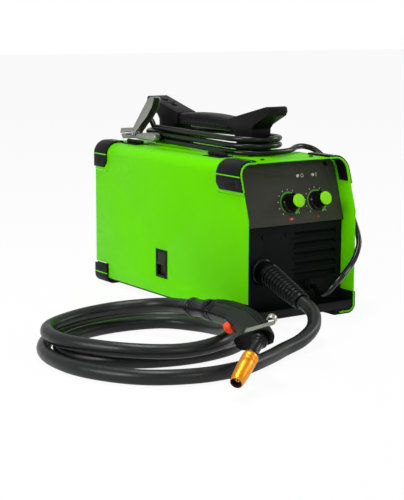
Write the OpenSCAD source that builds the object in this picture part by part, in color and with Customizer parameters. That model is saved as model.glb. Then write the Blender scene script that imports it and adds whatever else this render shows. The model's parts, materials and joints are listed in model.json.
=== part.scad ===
// Portable flux-cored wire welding machine with its wire feeder, welding torch and ground clamp.
// Frame: X to the right, Y to the rear, Z up; the origin lies on the floor under the middle of the case.

/* [Case] */
// Width of the case over its side sheets
case_w = 206; // [196:1:240]
// Length of the case along its side sheets
case_l = 447; // [430:1:520]
// Height of the top sheet above the floor
case_top = 243; // [236:1:270]
// Height of the feet below the base pan
foot_h = 8; // [6:1:14]
// Thickness of the case sheets
sheet_t = 1.5; // [1:0.1:2]
// Outer radius of the bend between side and top
bend_r = 20; // [12:1:26]
// Height where the front edge starts to lean back
nose_z = 161; // [150:1:175]
// How far the top of the front edge leans back
slope_run = 25.5; // [10:0.5:32]
// Depth of the front and rear panels behind the sheet edges
panel_recess = 31; // [24:1:36]
// Free play between sheets, pan and panels
sheet_gap = 0.3; // [0.3:0.1:0.6]
// Height of the base pan's side lips above the floor
pan_lip_z = 34; // [28:1:40]
// Height of the seam between the control panel and the lower front panel
panel_split_z = 145; // [143:1:149]
// Width of the wire bay between the left side and the divider
bay_w = 81; // [80:0.5:84]

/* [Door] */
// Distance of the top seam of the door to the left of the middle
seam_x = 66; // [60:1:72]
// Width of the seams round the door
seam_gap = 1.5; // [1:0.1:2.5]
// Radius of the door hinge barrels
barrel_r = 3.5; // [3:0.1:4]
// Length of one door hinge
hinge_len = 45; // [36:1:60]
// Distance of the front door hinge from the front end
hinge_front_in = 131.5; // [120:0.5:140]
// Distance of the rear door hinge from the rear end
hinge_rear_in = 71.5; // [68:0.5:90]
// Radius of the hinge pins
hinge_pin_r = 1.5; // [1.2:0.1:1.8]
// Clearance round pins and shafts
run_gap = 0.05; // [0.02:0.01:0.09]
// Width of the latch bezel
latch_w = 33; // [28:1:40]
// Height of the latch bezel
latch_h = 46; // [42:1:56]
// Height of the latch centre above the floor
latch_z = 62; // [60:1:80]
// Place of the latch centre along the case
latch_y = 12; // [0:1:30]
// Travel of the latch slider
latch_travel = 8; // [6:0.5:9]

/* [Corner guards] */
// Thickness of the guards over the sheets
guard_t = 3; // [2:0.5:4]
// Length of the rear and lower guards along the case
guard_len = 40; // [34:1:46]
// Length of the upper front guards along the top
guard_front_len = 79.5; // [70:0.5:86]
// Height of the lower edge of the upper guards
guard_drop_z = 202; // [198:1:208]
// Height of the lower guards
foot_guard_h = 33; // [28:1:36]
// Width that the guards reach in from the side
guard_reach = 36; // [32:1:40]
// Radius of the feet's lower corner
foot_corner_r = 14; // [8:1:16]
// Height of the coloured inlay strips
inlay_h = 1.8; // [1.2:0.1:2.4]
// Depth of the coloured inlay strips
inlay_depth = 1; // [0.6:0.1:1.4]

/* [Carry handle] */
// Distance from the handle's middle to the tip of a horn
horn_reach = 182; // [170:1:196]
// Height of the horn tops above the top sheet
horn_h = 78; // [70:1:90]
// Height of the grip's top above the top sheet
grip_top_h = 58; // [50:1:62]
// Height of the grip's underside above the top sheet
grip_under_h = 34; // [30:1:38]
// Distance from the handle's middle to the inner side of a post
post_in = 86; // [80:1:90]
// Thickness of a post along the case
post_d = 46; // [40:1:50]
// Width of the horns and posts
horn_w = 38; // [32:1:44]
// Width of the grip
grip_w = 33; // [28:1:36]
// Place of the handle's middle along the case
handle_y = 25; // [16:1:28]

/* [Controls] */
// Distance between the two control knobs
knob_pitch = 52.5; // [44:0.5:60]
// Place of the first knob across the panel
knob_x = 1; // [-6:1:10]
// Height of the knobs along the control panel
knob_s = 15.5; // [14:0.5:24]
// Radius of a knob's skirt
knob_r = 15; // [12:0.5:16]
// Radius of a knob's cap
cap_r = 11; // [8:0.5:11.5]
// Length of a knob with its cap
knob_len = 26; // [20:1:28]
// Radius of the control shafts
shaft_r = 3; // [2.5:0.1:3.5]
// Radius of the indicator lamps
lamp_r = 2.6; // [2:0.1:3.2]
// Height of the lamps along the control panel
lamp_s = 57; // [50:1:62]

/* [Louvres] */
// Number of louvres in the lower front panel
louvre_count = 5; // [3:1:5]
// Distance between louvres
louvre_pitch = 15.8; // [14:0.1:16]
// Height of one louvre opening
louvre_h = 10; // [7:0.5:11]
// Width of the louvres
louvre_w = 86; // [70:1:88]
// Height of the lowest louvre's lower edge
louvre_z = 58; // [56:1:66]

/* [Wire drive] */
// Height of the welding wire above the floor
wire_z = 76; // [72:1:82]
// Distance of the welding wire from the left side
wire_in = 49; // [47:1:51]
// Radius of the welding wire
wire_r = 0.45; // [0.3:0.05:0.6]
// Diameter of the wire spool
spool_d = 200; // [160:1:202]
// Width of the wire spool
spool_w = 54; // [46:1:56]
// Height of the spool's axle above the floor
spool_z = 124; // [116:1:126]
// Place of the spool's axle along the case
spool_y = 84; // [78:1:86]
// Radius of the spool's bore
spool_bore_r = 26; // [22:0.5:28]
// Outer radius of the wire wound on the spool
winding_r = 80; // [60:1:88]
// Radius of the drive roll
drive_r = 15; // [12:0.5:16]
// Radius of the idler roll
idler_r = 11; // [9:0.5:12]
// Width of the feed rolls
roll_w = 12; // [10:1:12]
// Place of the feed rolls along the case
roll_y = -80; // [-84:1:-78]
// Radius of the feed motor
motor_r = 24; // [18:1:26]
// Gap between a feed roll and the wire
roll_gap = 0.3; // [0.3:0.05:0.4]

/* [Fan] */
// Width of the fan frame
fan_w = 92; // [80:1:98]
// Depth of the fan frame
fan_d = 25; // [20:1:28]
// Height of the fan's axle above the floor
fan_z = 130; // [116:1:140]
// Number of fan blades
blade_count = 7; // [5:1:9]

/* [Torch and leads] */
// Outer radius of the torch cable
cable_r = 10; // [8:0.5:10]
// Outer radius of the ground lead
lead_r = 4.5; // [3.5:0.1:4.6]
// Thickness of the torch handle
torch_t = 28; // [26:1:32]
// Outer radius of the torch neck
neck_r = 5.5; // [5:0.5:6.5]
// Length of the torch nozzle
nozzle_len = 54; // [48:1:58]
// Outer radius of the nozzle's widest part
nozzle_r = 10.5; // [10:0.5:11.5]
// Radius of the nozzle's mouth
mouth_r = 7.5; // [7:0.5:8.5]
// Travel of the torch trigger
trigger_travel = 3; // [2:0.5:4]
// Number of ribs on the torch cable's strain relief
relief_ribs = 11; // [7:1:12]
// Number of loops of ground lead round the handle posts
coil_loops = 2.375; // [2.375:0.125:2.375]
// Rise of the ground lead coil in one loop
coil_pitch = 10.4; // [10:0.1:11]

/* [Ground clamp] */
// Width of the clamp's upper lever
clamp_w = 15; // [14.6:0.1:15.2]
// Length of the clamp's handles
clamp_handle = 84; // [70:1:90]
// Length of the clamp's jaws
clamp_jaw = 42; // [34:1:46]
// Radius of the clamp's pivot pin
clamp_pin_r = 2.5; // [2:0.1:3]
// Thickness of the clamp's sheet
clamp_t = 1.6; // [1.2:0.1:2]

/* [Hidden] */
$fn = 48;

green = [0.40, 0.83, 0.05];
black = [0.10, 0.10, 0.10];
dark = [0.16, 0.16, 0.16];
steel = [0.62, 0.63, 0.62];
brass = [0.93, 0.62, 0.25];
red = [0.95, 0.30, 0.16];

half_w = case_w / 2;
half_l = case_l / 2;
divider_x = bay_w - half_w;
wire_x = wire_in - half_w;
fan_x = (divider_x + sheet_t + half_w - sheet_t) / 2;
panel_inset = sheet_t + sheet_gap;
floor_z = foot_h + sheet_t;
slope_a = atan(slope_run / (case_top - nose_z));
front_panel_y = -half_l + panel_recess;
rear_panel_y = half_l - panel_recess;
inner_top = case_top - sheet_t;
far = 400;

// Place of the sheets' front edge along the case at a height
function front_y(z) = z < nose_z ? -half_l : -half_l + (z - nose_z) * tan(slope_a);
function flatten(lists) = [for (list = lists) for (item = list) item];
function unit(v) = v / norm(v);

// ---- Shared shapes ----

// Extrudes an X-Z outline along the case
module along_y(y0, y1) {
    translate([0, y1, 0]) rotate([90, 0, 0]) linear_extrude(y1 - y0) children();
}

// Extrudes a Y-Z outline across the case
module along_x(x0, x1) {
    translate([x0, 0, 0]) rotate([90, 0, 90]) linear_extrude(x1 - x0) children();
}

// A round bar between two heights on an axis across the case
module bar_x(x0, x1, r) {
    translate([x0, 0, 0]) rotate([0, 90, 0]) cylinder(r = r, h = x1 - x0);
}

// A round bar on an axis along the case
module bar_y(y0, y1, r) {
    translate([0, y1, 0]) rotate([90, 0, 0]) cylinder(r = r, h = y1 - y0);
}

// A block given by its low and high corners
module block(low, high) {
    translate(low) cube(high - low);
}

// Cross-section of the case, square below and rounded above, grown by o
module case_outline(o) {
    w = half_w + o;
    r = max(bend_r + o, 1);
    top = case_top + o;
    translate([-w, 0]) square([2 * w, top - r]);
    translate([-(w - r), 0]) square([2 * (w - r), top]);
    for (side = [-1, 1]) translate([side * (w - r), top - r]) circle(r);
}

// Side outline of the case with its leaning front edge, up to a height
module side_outline(top, inset = 0) {
    polygon([[-half_l + inset, 0], [-half_l + inset, nose_z], [front_y(top) + inset, top],
        [half_l - inset, top], [half_l - inset, 0]]);
}

// The bent sheet that the cover and the door are cut from
module case_sheet() {
    intersection() {
        along_y(-half_l, half_l) difference() {
            case_outline(0);
            case_outline(-sheet_t);
        }
        along_x(-half_w - 1, half_w + 1) side_outline(case_top);
    }
}

// What a panel across the case may fill
module bay_outline() {
    difference() {
        case_outline(-panel_inset);
        translate([-far, -1]) square([2 * far, floor_z + 1]);
        for (side = [-1, 1]) translate([side * (far + pan_in), 0])
            square([2 * far, 2 * (pan_lip_z + sheet_gap)], center = true);
    }
}
pan_in = half_w - 2 * sheet_t - 2 * sheet_gap;

// Stands its children on the control panel: X across, Z up the slope, -Y out of its face
module on_control_panel() {
    translate([0, front_panel_y, nose_z]) rotate([-slope_a, 0, 0]) children();
}

// A shape turned about an axis that points out of the front
module turned_front() {
    rotate([90, 0, 0]) rotate_extrude() children();
}

// ---- Swept cords ----

function catmull(p0, p1, p2, p3, t) = 0.5 * ((2 * p1) + (p2 - p0) * t
    + (2 * p0 - 5 * p1 + 4 * p2 - p3) * t * t + (3 * p1 - p0 - 3 * p2 + p3) * t * t * t);
function smooth_path(route, steps) = let (n = len(route)) concat(flatten([for (i = [0 : n - 2])
    let (p0 = i == 0 ? 2 * route[0] - route[1] : route[i - 1],
        p3 = i == n - 2 ? 2 * route[n - 1] - route[n - 2] : route[i + 2])
    [for (k = [0 : steps - 1]) catmull(p0, route[i], route[i + 1], p3, k / steps)]]), [route[n - 1]]);
function tangents(path) = let (n = len(path)) [for (i = [0 : n - 1])
    unit(path[min(i + 1, n - 1)] - path[max(i - 1, 0)])];
function straighten(v, t) = unit(v - t * (v * t));
function carried(tan) = [for (i = 0, side = straighten(cross(tan[0], [0, 0, 1]), tan[0]); i < len(tan);
    i = i + 1, side = i < len(tan) ? straighten(side, tan[i]) : side) side];
function path_length(path) = let (steps = [for (i = [1 : len(path) - 1]) norm(path[i] - path[i - 1])])
    steps * [for (s = steps) 1];

// One closed tube along a path of ring centres
module tube(path, r, sides) {
    tan = tangents(path);
    side = carried(tan);
    n = len(path);
    points = flatten([for (i = [0 : n - 1]) [for (k = [0 : sides - 1]) let (a = 360 * k / sides)
        path[i] + r * cos(a) * side[i] + r * sin(a) * cross(tan[i], side[i])]]);
    walls = flatten([for (i = [0 : n - 2]) for (k = [0 : sides - 1]) let (a = i * sides + k,
        b = i * sides + (k + 1) % sides) [[a, b + sides, b], [a, a + sides, b + sides]]]);
    caps = flatten([for (k = [1 : sides - 2]) [[0, k, k + 1],
        [(n - 1) * sides, (n - 1) * sides + k + 1, (n - 1) * sides + k]]]);
    polyhedron(points, concat(walls, caps), convexity = 10);
}

// ---- Case ----

module base_pan() color(dark) {
    lip_x = half_w - sheet_t - sheet_gap;
    end_lip_z = 21;
    block([-lip_x, -half_l, foot_h], [lip_x, half_l, floor_z]);
    for (side = [-1, 1]) scale([side, 1, 1]) block([pan_in, -half_l, foot_h], [lip_x, half_l, pan_lip_z]);
    for (end = [-1, 1]) scale([1, end, 1]) block([-lip_x, half_l - sheet_t, foot_h], [lip_x, half_l, end_lip_z]);
}

top_guard_y0 = -half_l + guard_front_len;
top_guard_y1 = half_l - guard_len;
tab_z = guard_drop_z - seam_gap - 3;

module case_cover() color(green) {
    difference() {
        case_sheet();
        block([-far, top_guard_y0, -1], [-seam_x + seam_gap, top_guard_y1, far]);
        block([-far, -far, -1], [-seam_x + seam_gap, far, tab_z]);
        block([-far, -far, -1], [far, far, foot_h]);
        for (x = top_screw_x) translate([x, top_screw_y, case_top - 4]) cylinder(r = screw_r + 0.1, h = 8);
    }
}

module wire_door() color(green) {
    difference() {
        case_sheet();
        block([-seam_x - sheet_gap / 2, -far, -1], [far, far, far]);
        block([-far, -far, -1], [far, far, foot_h + seam_gap + 1.5]);
        block([-far, -far, tab_z - seam_gap], [0, top_guard_y0 + seam_gap, far]);
        block([-far, top_guard_y1 - seam_gap, tab_z - seam_gap], [0, far, far]);
        for (end = [-1, 1]) scale([1, end, 1])
            block([-far, half_l - guard_len - seam_gap, -1], [0, far, foot_guard_h + 2 * seam_gap]);
        translate([0, latch_y, latch_z])
            block([-far, -latch_w / 2 + 3, -latch_h / 2 + 3], [0, latch_w / 2 - 3, latch_h / 2 - 3]);
    }
}

hinge_axis_z = case_top + barrel_r + 0.5;
leaf_t = 1.2;
leaf_w = 13;
knuckle = hinge_len / 3;

// A leaf plate along the whole hinge, joined to the barrel between two heights
module hinge_leaf(side, y0, y1) {
    low = case_top - hinge_axis_z;
    scale([side, 1, 1]) {
        block([barrel_r + 0.5, -hinge_len / 2, low], [leaf_w, hinge_len / 2, low + leaf_t]);
        block([0, y0, low], [leaf_w, y1, low + leaf_t]);
    }
    bar_y(y0, y1, barrel_r);
}

module hinge_places() {
    for (y = [-half_l + hinge_front_in, half_l - hinge_rear_in]) translate([-seam_x, y, hinge_axis_z]) children();
}

module door_hinges() color(black) hinge_places() {
    difference() {
        union() {
            hinge_leaf(1, knuckle / 2, hinge_len / 2);
            hinge_leaf(1, -hinge_len / 2, -knuckle / 2);
        }
        bar_y(-hinge_len, hinge_len, hinge_pin_r);
    }
    bar_y(-hinge_len / 2, hinge_len / 2, hinge_pin_r);
}

module door_hinge_leaves() color(black) hinge_places() difference() {
    hinge_leaf(-1, -knuckle / 2 + 0.3, knuckle / 2 - 0.3);
    bar_y(-hinge_len, hinge_len, hinge_pin_r + run_gap);
}

bezel_t = 1.2;
bezel_rim = 4.5;
slider_w = latch_w - 2 * bezel_rim - 1;
// The slider fills its pocket less its travel at both ends
slider_h = latch_h - 2 * bezel_rim - 2 - 2 * latch_travel;
slider_top = latch_h / 2 - bezel_rim - 0.5;
tongue_x = -pan_in + 0.5;

module latch_bezel() color(black) translate([0, latch_y, latch_z]) {
    difference() {
        union() {
            block([-half_w - bezel_t, -latch_w / 2, -latch_h / 2], [-half_w, latch_w / 2, latch_h / 2]);
            block([-half_w, -latch_w / 2 + 3, -latch_h / 2 + 3], [-tray_x, latch_w / 2 - 3, latch_h / 2 - 3]);
        }
        block([-far, -latch_w / 2 + bezel_rim, -latch_h / 2 + bezel_rim],
            [-tray_x - 1.2, latch_w / 2 - bezel_rim, latch_h / 2 - bezel_rim]);
        block([tongue_x - 1, -slider_w / 2 + 2, -far], [tongue_x + 2.5, slider_w / 2 - 2, 0]);
    }
}
tray_x = half_w - 8;

module latch_slider() color([0.35, 0.36, 0.35]) translate([0, latch_y, latch_z]) {
    tongue_low = pan_lip_z + 1.5 - latch_z;
    block([-half_w - 0.6, -slider_w / 2, slider_top - slider_h], [tongue_x, slider_w / 2, slider_top]);
    block([-half_w - 2, -slider_w / 2, slider_top - slider_h],
        [-half_w - 0.6, slider_w / 2, slider_top - slider_h + 3]);
    block([tongue_x - 0.2, -slider_w / 2 + 2.5, tongue_low],
        [tongue_x + 1.5, slider_w / 2 - 2.5, slider_top - slider_h + 4]);
}

// The fan's finger guard: upright slots inside a circle
module grille_slots() {
    slot_w = 5;
    slot_pitch = 9;
    open_r = fan_w / 2 - 5;
    for (i = [-4 : 4]) let (x = i * slot_pitch, h = 2 * sqrt(open_r * open_r - x * x))
        block([x - slot_w / 2, -5, -h / 2], [x + slot_w / 2, 5, h / 2]);
}

gland_x = 66;
gland_z = 44;
gland_hole_r = 8;
switch_x = 66;
switch_z = 204;
switch_w = 30;
switch_h = 22;

module rear_panel() color(dark) {
    difference() {
        along_y(rear_panel_y - sheet_t, rear_panel_y) bay_outline();
        translate([fan_x, rear_panel_y - sheet_t, fan_z]) grille_slots();
        translate([gland_x, 0, gland_z]) bar_y(0, far, gland_hole_r);
        block([switch_x - switch_w / 2 + 1.5, 0, switch_z - switch_h / 2 + 1.5],
            [switch_x + switch_w / 2 - 1.5, far, switch_z + switch_h / 2 - 1.5]);
    }
}

relief_x = wire_x;
relief_neck_r = 13;
bushing_x = 35;
bushing_z = 46;
bushing_r = 6;
louvre_x0 = 6;
screw_r = 1.6;
screw_head_r = 3.4;
// Screws in the lower front panel, as X and Z
lower_screws = [[-51, 128], [-7, 129], [9 - half_w, 128], [9 - half_w, 40], [half_w - 9, 40]];
// Screws in the control panel, as X and height up the slope
upper_screws = [[half_w - 20, 72], [20 - half_w, 72]];
top_screw_x = [54, -40];
top_screw_y = front_y(case_top) + 26;
guard_screw_z = 212;
foot_screw_z = 26;
guard_screw_r = 4;

// One louvre from the side: an outer lip and a vane that rises behind the opening
module louvre_outline() {
    polygon([[0, -3.2], [0, 0.2], [-2, 1], [-2.6, 0.2]]);
    polygon([[0, -2], [sheet_t, -2], [louvre_depth, louvre_h + 0.6], [louvre_depth, louvre_h + 2.2], [0, 0.2]]);
}
louvre_depth = 9;

module lower_front_panel() color(dark) {
    difference() {
        union() {
            intersection() {
                along_y(front_panel_y, front_panel_y + sheet_t) bay_outline();
                block([-far, -far, 0], [far, far, panel_split_z - 0.2]);
            }
            for (i = [0 : louvre_count - 1]) translate([louvre_x0, front_panel_y, louvre_z + i * louvre_pitch])
                along_x(0, louvre_w) louvre_outline();
        }
        for (i = [0 : louvre_count - 1]) translate([louvre_x0 + 2, front_panel_y, louvre_z + i * louvre_pitch])
            block([0, -1, 0.6], [louvre_w - 4, sheet_t + 0.01, louvre_h]);
        translate([relief_x, 0, wire_z]) bar_y(-far, 0, relief_neck_r);
        translate([bushing_x, 0, bushing_z]) bar_y(-far, 0, bushing_r);
        for (s = lower_screws) translate([s[0], 0, s[1]]) bar_y(-far, 0, screw_r + 0.1);
    }
}

module control_panel() color(dark) {
    slope_len = (inner_top - nose_z) / cos(slope_a);
    intersection() {
        on_control_panel() difference() {
            block([-far, 0, (panel_split_z - nose_z) / cos(slope_a)], [far, sheet_t, slope_len]);
            for (k = [0, 1]) translate([knob_x + k * knob_pitch, 0, knob_s]) bar_y(-far, far, shaft_r + 1);
            for (k = [0, 1]) translate([lamp_xs[k], 0, lamp_s]) bar_y(-far, far, lamp_r + 0.1);
            for (s = upper_screws) translate([s[0], 0, s[1]]) bar_y(-far, far, screw_r + 0.1);
        }
        along_y(-half_l, half_l) bay_outline();
    }
}
lamp_xs = [24.5, 54.5];

module centre_divider() color(steel) {
    front = panel_recess + 2 * sheet_t + sheet_gap;
    rear = panel_recess + sheet_t + sheet_gap;
    top = inner_top - sheet_gap;
    difference() {
        along_x(divider_x, divider_x + sheet_t) polygon([[-half_l + front, floor_z], [-half_l + front, nose_z],
            [front_y(top) + front, top], [half_l - rear, top], [half_l - rear, floor_z]]);
        translate([0, roll_y, drive_z]) bar_x(-far, far, 9);
    }
}

// ---- Corner guards ----

module guard_ring(z0, reach) {
    intersection() {
        difference() {
            case_outline(guard_t);
            case_outline(0);
        }
        for (side = [-1, 1]) translate([side * (half_w + guard_t - reach / 2), z0 + far / 2])
            square([reach, far], center = true);
    }
}

// Coloured rim on the case's front edge, in line with the sheet, and its part at one foot
module upper_rim_outline() {
    intersection() {
        difference() {
            case_outline(rim_out);
            case_outline(rim_out - rim_w);
        }
        for (side = [-1, 1]) translate([side * (half_w + guard_t - guard_reach / 2), guard_drop_z + far / 2])
            square([guard_reach, far], center = true);
    }
}
rim_out = 0.6;
rim_w = 2.5;
rim_t = 1;

module foot_rim_outline() {
    centre = half_w + guard_t - foot_corner_r;
    r = foot_corner_r - guard_t + rim_out;
    translate([half_w + rim_out - rim_w, foot_corner_r]) square([rim_w, foot_guard_h - foot_corner_r]);
    translate([centre - guard_reach / 2, guard_t - rim_out]) square([guard_reach / 2, rim_w]);
    translate([centre, foot_corner_r]) intersection() {
        difference() {
            circle(r);
            circle(r - rim_w);
        }
        translate([0, -far]) square([far, far]);
    }
}

// One colour line pressed into the upper guards, on the side and on the top
module upper_inlay_outline(z) {
    for (side = [-1, 1]) {
        translate([side * (half_w + guard_t - inlay_depth / 2), z]) square([inlay_depth, inlay_h], center = true);
        translate([side * (half_w + guard_t - guard_reach + 9), case_top + guard_t - inlay_depth / 2])
            square([inlay_h, inlay_depth], center = true);
    }
}

upper_inlay_z = 224;
foot_inlay_z = 18;

module upper_guard_space() {
    intersection() {
        union() {
            block([-far, -half_l, 0], [far, top_guard_y0, far]);
            block([-far, top_guard_y1, 0], [far, half_l, far]);
        }
        along_x(-far, far) side_outline(case_top + guard_t);
    }
}

module guard_screw_places() {
    for (side = [-1, 1]) for (y = [-half_l + guard_len * 0.62 + 8, half_l - guard_len * 0.55])
        translate([side * half_w, y, guard_screw_z]) rotate([0, side * 90, 0]) children();
    for (side = [-1, 1]) for (y = [-half_l + guard_len * 0.62, half_l - guard_len * 0.62])
        translate([side * half_w, y, foot_screw_z]) rotate([0, side * 90, 0]) children();
}

module top_corner_guards() color(black) {
    difference() {
        intersection() {
            along_y(-half_l, half_l) guard_ring(guard_drop_z, guard_reach);
            upper_guard_space();
        }
        for (y = [top_guard_y0, top_guard_y1]) along_x(-far, far)
            polygon([for (p = [[9, 0], [0, 9], [-9, 0]]) [y + p[0], guard_drop_z + p[1]]]);
        along_y(-far, far) upper_inlay_outline(upper_inlay_z);
        guard_screw_places() translate([0, 0, guard_t - 1.2]) cylinder(r = guard_screw_r + 0.1, h = far);
    }
    // Inner backing that the front edge of the cover is clamped against
    intersection() {
        along_y(-half_l, -half_l + guard_front_len * 0.55) difference() {
            case_outline(-sheet_t);
            case_outline(-sheet_t - 2);
            translate([-far, 0]) square([2 * far, guard_drop_z + 4]);
            translate([-half_w + 26, 0]) square([2 * (half_w - 26), far]);
        }
        along_x(-far, far) polygon([[front_y(nose_z) + 3, nose_z], [front_y(inner_top) + 3, inner_top],
            [front_y(inner_top) + panel_recess - 8, inner_top], [front_y(nose_z) + panel_recess - 8, nose_z]]);
    }
}

module foot_outline() {
    difference() {
        union() {
            translate([half_w + guard_t - guard_reach - 6, 0]) square([guard_reach + 6 - foot_corner_r, foot_h]);
            translate([half_w, foot_corner_r]) square([guard_t, foot_guard_h - foot_corner_r]);
            translate([half_w + guard_t - foot_corner_r, foot_corner_r]) circle(foot_corner_r);
        }
        translate([half_w - far, foot_h]) square([far, far]);
        translate([half_w - 1, foot_guard_h]) square([far, far]);
    }
}

module foot_inlay_outline() {
    translate([half_w + guard_t - inlay_depth, foot_inlay_z - inlay_h / 2]) square([inlay_depth, inlay_h]);
}

module base_corner_guards() color(black) {
    difference() {
        for (side = [-1, 1]) scale([side, 1, 1]) for (y = [-half_l, half_l - guard_len])
            along_y(y, y + guard_len) difference() {
                foot_outline();
                foot_inlay_outline();
            }
        guard_screw_places() translate([0, 0, guard_t - 1.2]) cylinder(r = guard_screw_r + 0.1, h = far);
    }
}

module guard_inlays() color(green) {
    intersection() {
        along_y(-half_l, half_l) upper_inlay_outline(upper_inlay_z);
        upper_guard_space();
    }
    for (side = [-1, 1]) scale([side, 1, 1]) for (y = [-half_l, half_l - guard_len])
        along_y(y, y + guard_len) foot_inlay_outline();
    for (side = [-1, 1]) scale([side, 1, 1]) along_y(-half_l - rim_t, -half_l) foot_rim_outline();
    intersection() {
        along_y(-half_l, half_l) upper_rim_outline();
        along_x(-far, far) polygon([for (p = [[-rim_t, guard_drop_z], [-rim_t, case_top + guard_t],
            [0, case_top + guard_t], [0, guard_drop_z]]) [front_y(p[1]) + p[0], p[1]]]);
    }
}

// A pan-head screw that points along +Z with its head's seat at z = 0
module pan_screw(shank) {
    difference() {
        cylinder(r = screw_head_r, h = 2.2);
        translate([0, 0, 1.2]) cylinder(r = 1.5, h = 2);
    }
    translate([0, 0, -shank]) cylinder(r = screw_r, h = shank);
}

module case_screws() color(steel) {
    for (s = lower_screws) translate([s[0], front_panel_y, s[1]]) rotate([90, 0, 0]) pan_screw(6);
    on_control_panel() for (s = upper_screws) translate([s[0], 0, s[1]]) rotate([90, 0, 0]) pan_screw(5);
    for (x = top_screw_x) translate([x, top_screw_y, case_top]) pan_screw(5);
    guard_screw_places() translate([0, 0, guard_t - 1.2]) difference() {
        cylinder(r = guard_screw_r, h = 1.8);
        translate([0, 0, 0.9]) cylinder(r = 2.2, h = 2);
    }
}

// ---- Carry handle ----

grip_core_w = 18;
grip_core_low = case_top + grip_under_h + 6;
grip_core_high = case_top + grip_top_h - 9;
post_out = post_in + post_d;

// Post and horn of one end, with Y measured from the handle's middle
module horn_outline() {
    polygon([[post_in - 3, case_top], [post_out + 7, case_top], [post_out + 7, case_top + 7],
        [post_out, case_top + 11], [post_out + 2, case_top + grip_under_h + 7],
        [post_out + 9, case_top + grip_under_h + 14], [horn_reach - 4, case_top + horn_h - 14],
        [horn_reach, case_top + horn_h - 8], [horn_reach - 2, case_top + horn_h - 1],
        [horn_reach - 7, case_top + horn_h], [horn_reach - 46, case_top + horn_h - 3],
        [post_in - 20, case_top + grip_top_h - 3], [post_in - 20, case_top + grip_under_h + 2],
        [post_in - 6, case_top + grip_under_h - 2], [post_in + 3, case_top + grip_under_h - 12],
        [post_in + 1, case_top + 9]]);
}

module carry_handle() color(black) translate([0, handle_y, 0]) {
    for (end = [-1, 1]) scale([1, end, 1]) {
        along_x(-horn_w / 2, horn_w / 2) horn_outline();
        block([-horn_w / 2 - 5, post_in - 3, case_top], [horn_w / 2 + 5, post_out + 7, case_top + 5]);
    }
    block([-grip_core_w / 2, -post_in + 20, grip_core_low], [grip_core_w / 2, post_in - 20, grip_core_high]);
}

module handle_grip() color(dark) translate([0, handle_y, 0]) {
    end_y = post_in - 20 - sheet_gap;
    round_r = 8;
    low = case_top + grip_under_h;
    high = case_top + grip_top_h;
    difference() {
        intersection() {
            along_y(-end_y, end_y) {
                translate([-grip_w / 2, low + round_r]) square([grip_w, high - low - 2 * round_r]);
                translate([-grip_w / 2 + round_r, low]) square([grip_w - 2 * round_r, high - low]);
                for (x = [-1, 1]) for (z = [low + round_r, high - round_r])
                    translate([x * (grip_w / 2 - round_r), z]) circle(round_r);
            }
            along_x(-far, far) polygon([[-end_y, low], [-end_y, high - 4], [-end_y / 2, high - 1],
                [0, high], [end_y / 2, high - 1], [end_y, high - 4], [end_y, low]]);
        }
        block([-grip_core_w / 2, -far, grip_core_low], [grip_core_w / 2, far, grip_core_high]);
    }
}

// ---- Controls ----

module knob_place(k) on_control_panel() translate([knob_x + k * knob_pitch, 0, knob_s]) children();

module knob_body() {
    face = 1;
    step = 4;
    turned_front() polygon([[0, -9], [shaft_r, -9], [shaft_r, face], [knob_r, face], [knob_r, face + step],
        [knob_r - 2, face + step + 3], [cap_r, knob_len - 8], [cap_r, knob_len - 3], [0, knob_len - 3]]);
    // Pointer rib on the skirt
    block([-0.8, -knob_len + 8, cap_r - 1], [0.8, -face - step, knob_r - 1]);
}

module knob_cap() {
    cap_t = 3;
    turned_front() polygon([[0, knob_len - cap_t], [cap_r, knob_len - cap_t], [cap_r, knob_len - 0.8],
        [cap_r - 0.8, knob_len], [0, knob_len]]);
}

module voltage_knob() color(black) knob_place(0) knob_body();
module voltage_cap() color(green) knob_place(0) knob_cap();
module speed_knob() color(black) knob_place(1) knob_body();
module speed_cap() color(green) knob_place(1) knob_cap();

module potentiometers() color(steel) for (k = [0, 1]) knob_place(k) difference() {
    union() {
        bar_y(sheet_t, sheet_t + 9, 8);
        bar_y(0.2, sheet_t, shaft_r + 1 - 0.1);
    }
    bar_y(-1, 9.5, shaft_r + run_gap);
}

module indicator_lamps() color([0.85, 0.86, 0.75]) on_control_panel() for (x = lamp_xs)
    translate([x, 0, lamp_s]) {
        bar_y(-0.8, 10, lamp_r);
        bar_y(sheet_t, 10, lamp_r + 0.8);
        translate([0, -0.8, 0]) intersection() {
            sphere(lamp_r);
            block([-far, -far, -far], [far, 0, far]);
        }
    }

// ---- Torch ----

relief_len = 108;
relief_out = 14;
// Direction in which the strain relief points
relief_dir = unit([-6, -107, -32]);
relief_root = [relief_x, front_panel_y - relief_out, wire_z];
relief_end = relief_root + relief_dir * (relief_len - relief_out);
relief_base_r = 18;
relief_tip_r = cable_r + 2.5;

// Points its children's Z along a direction
module aim(v) {
    rotate([0, acos(v[2] / norm(v)), atan2(v[1], v[0])]) children();
}

module torch_relief() color(black) {
    ribs_len = relief_len - relief_out - 14;
    pitch = ribs_len / relief_ribs;
    translate([relief_x, 0, wire_z]) {
        bar_y(front_panel_y - relief_out, front_panel_y, relief_base_r);
        bar_y(front_panel_y - 1, front_panel_y + 8, relief_neck_r - 0.1);
    }
    translate(relief_root) sphere(relief_base_r);
    translate(relief_root) aim(relief_dir) rotate_extrude() polygon(concat([[0, 0]],
        flatten([for (i = [0 : relief_ribs - 1]) let (z = 8 + i * pitch,
            r = relief_base_r - (relief_base_r - relief_tip_r - 1.5) * i / (relief_ribs - 1))
            [[r - 2.6, z], [r, z + 0.6], [r, z + pitch * 0.55], [r - 2.6, z + pitch * 0.62]]]),
        [[relief_tip_r, ribs_len + 8], [relief_tip_r, relief_len - relief_out], [0, relief_len - relief_out]]));
}

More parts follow.
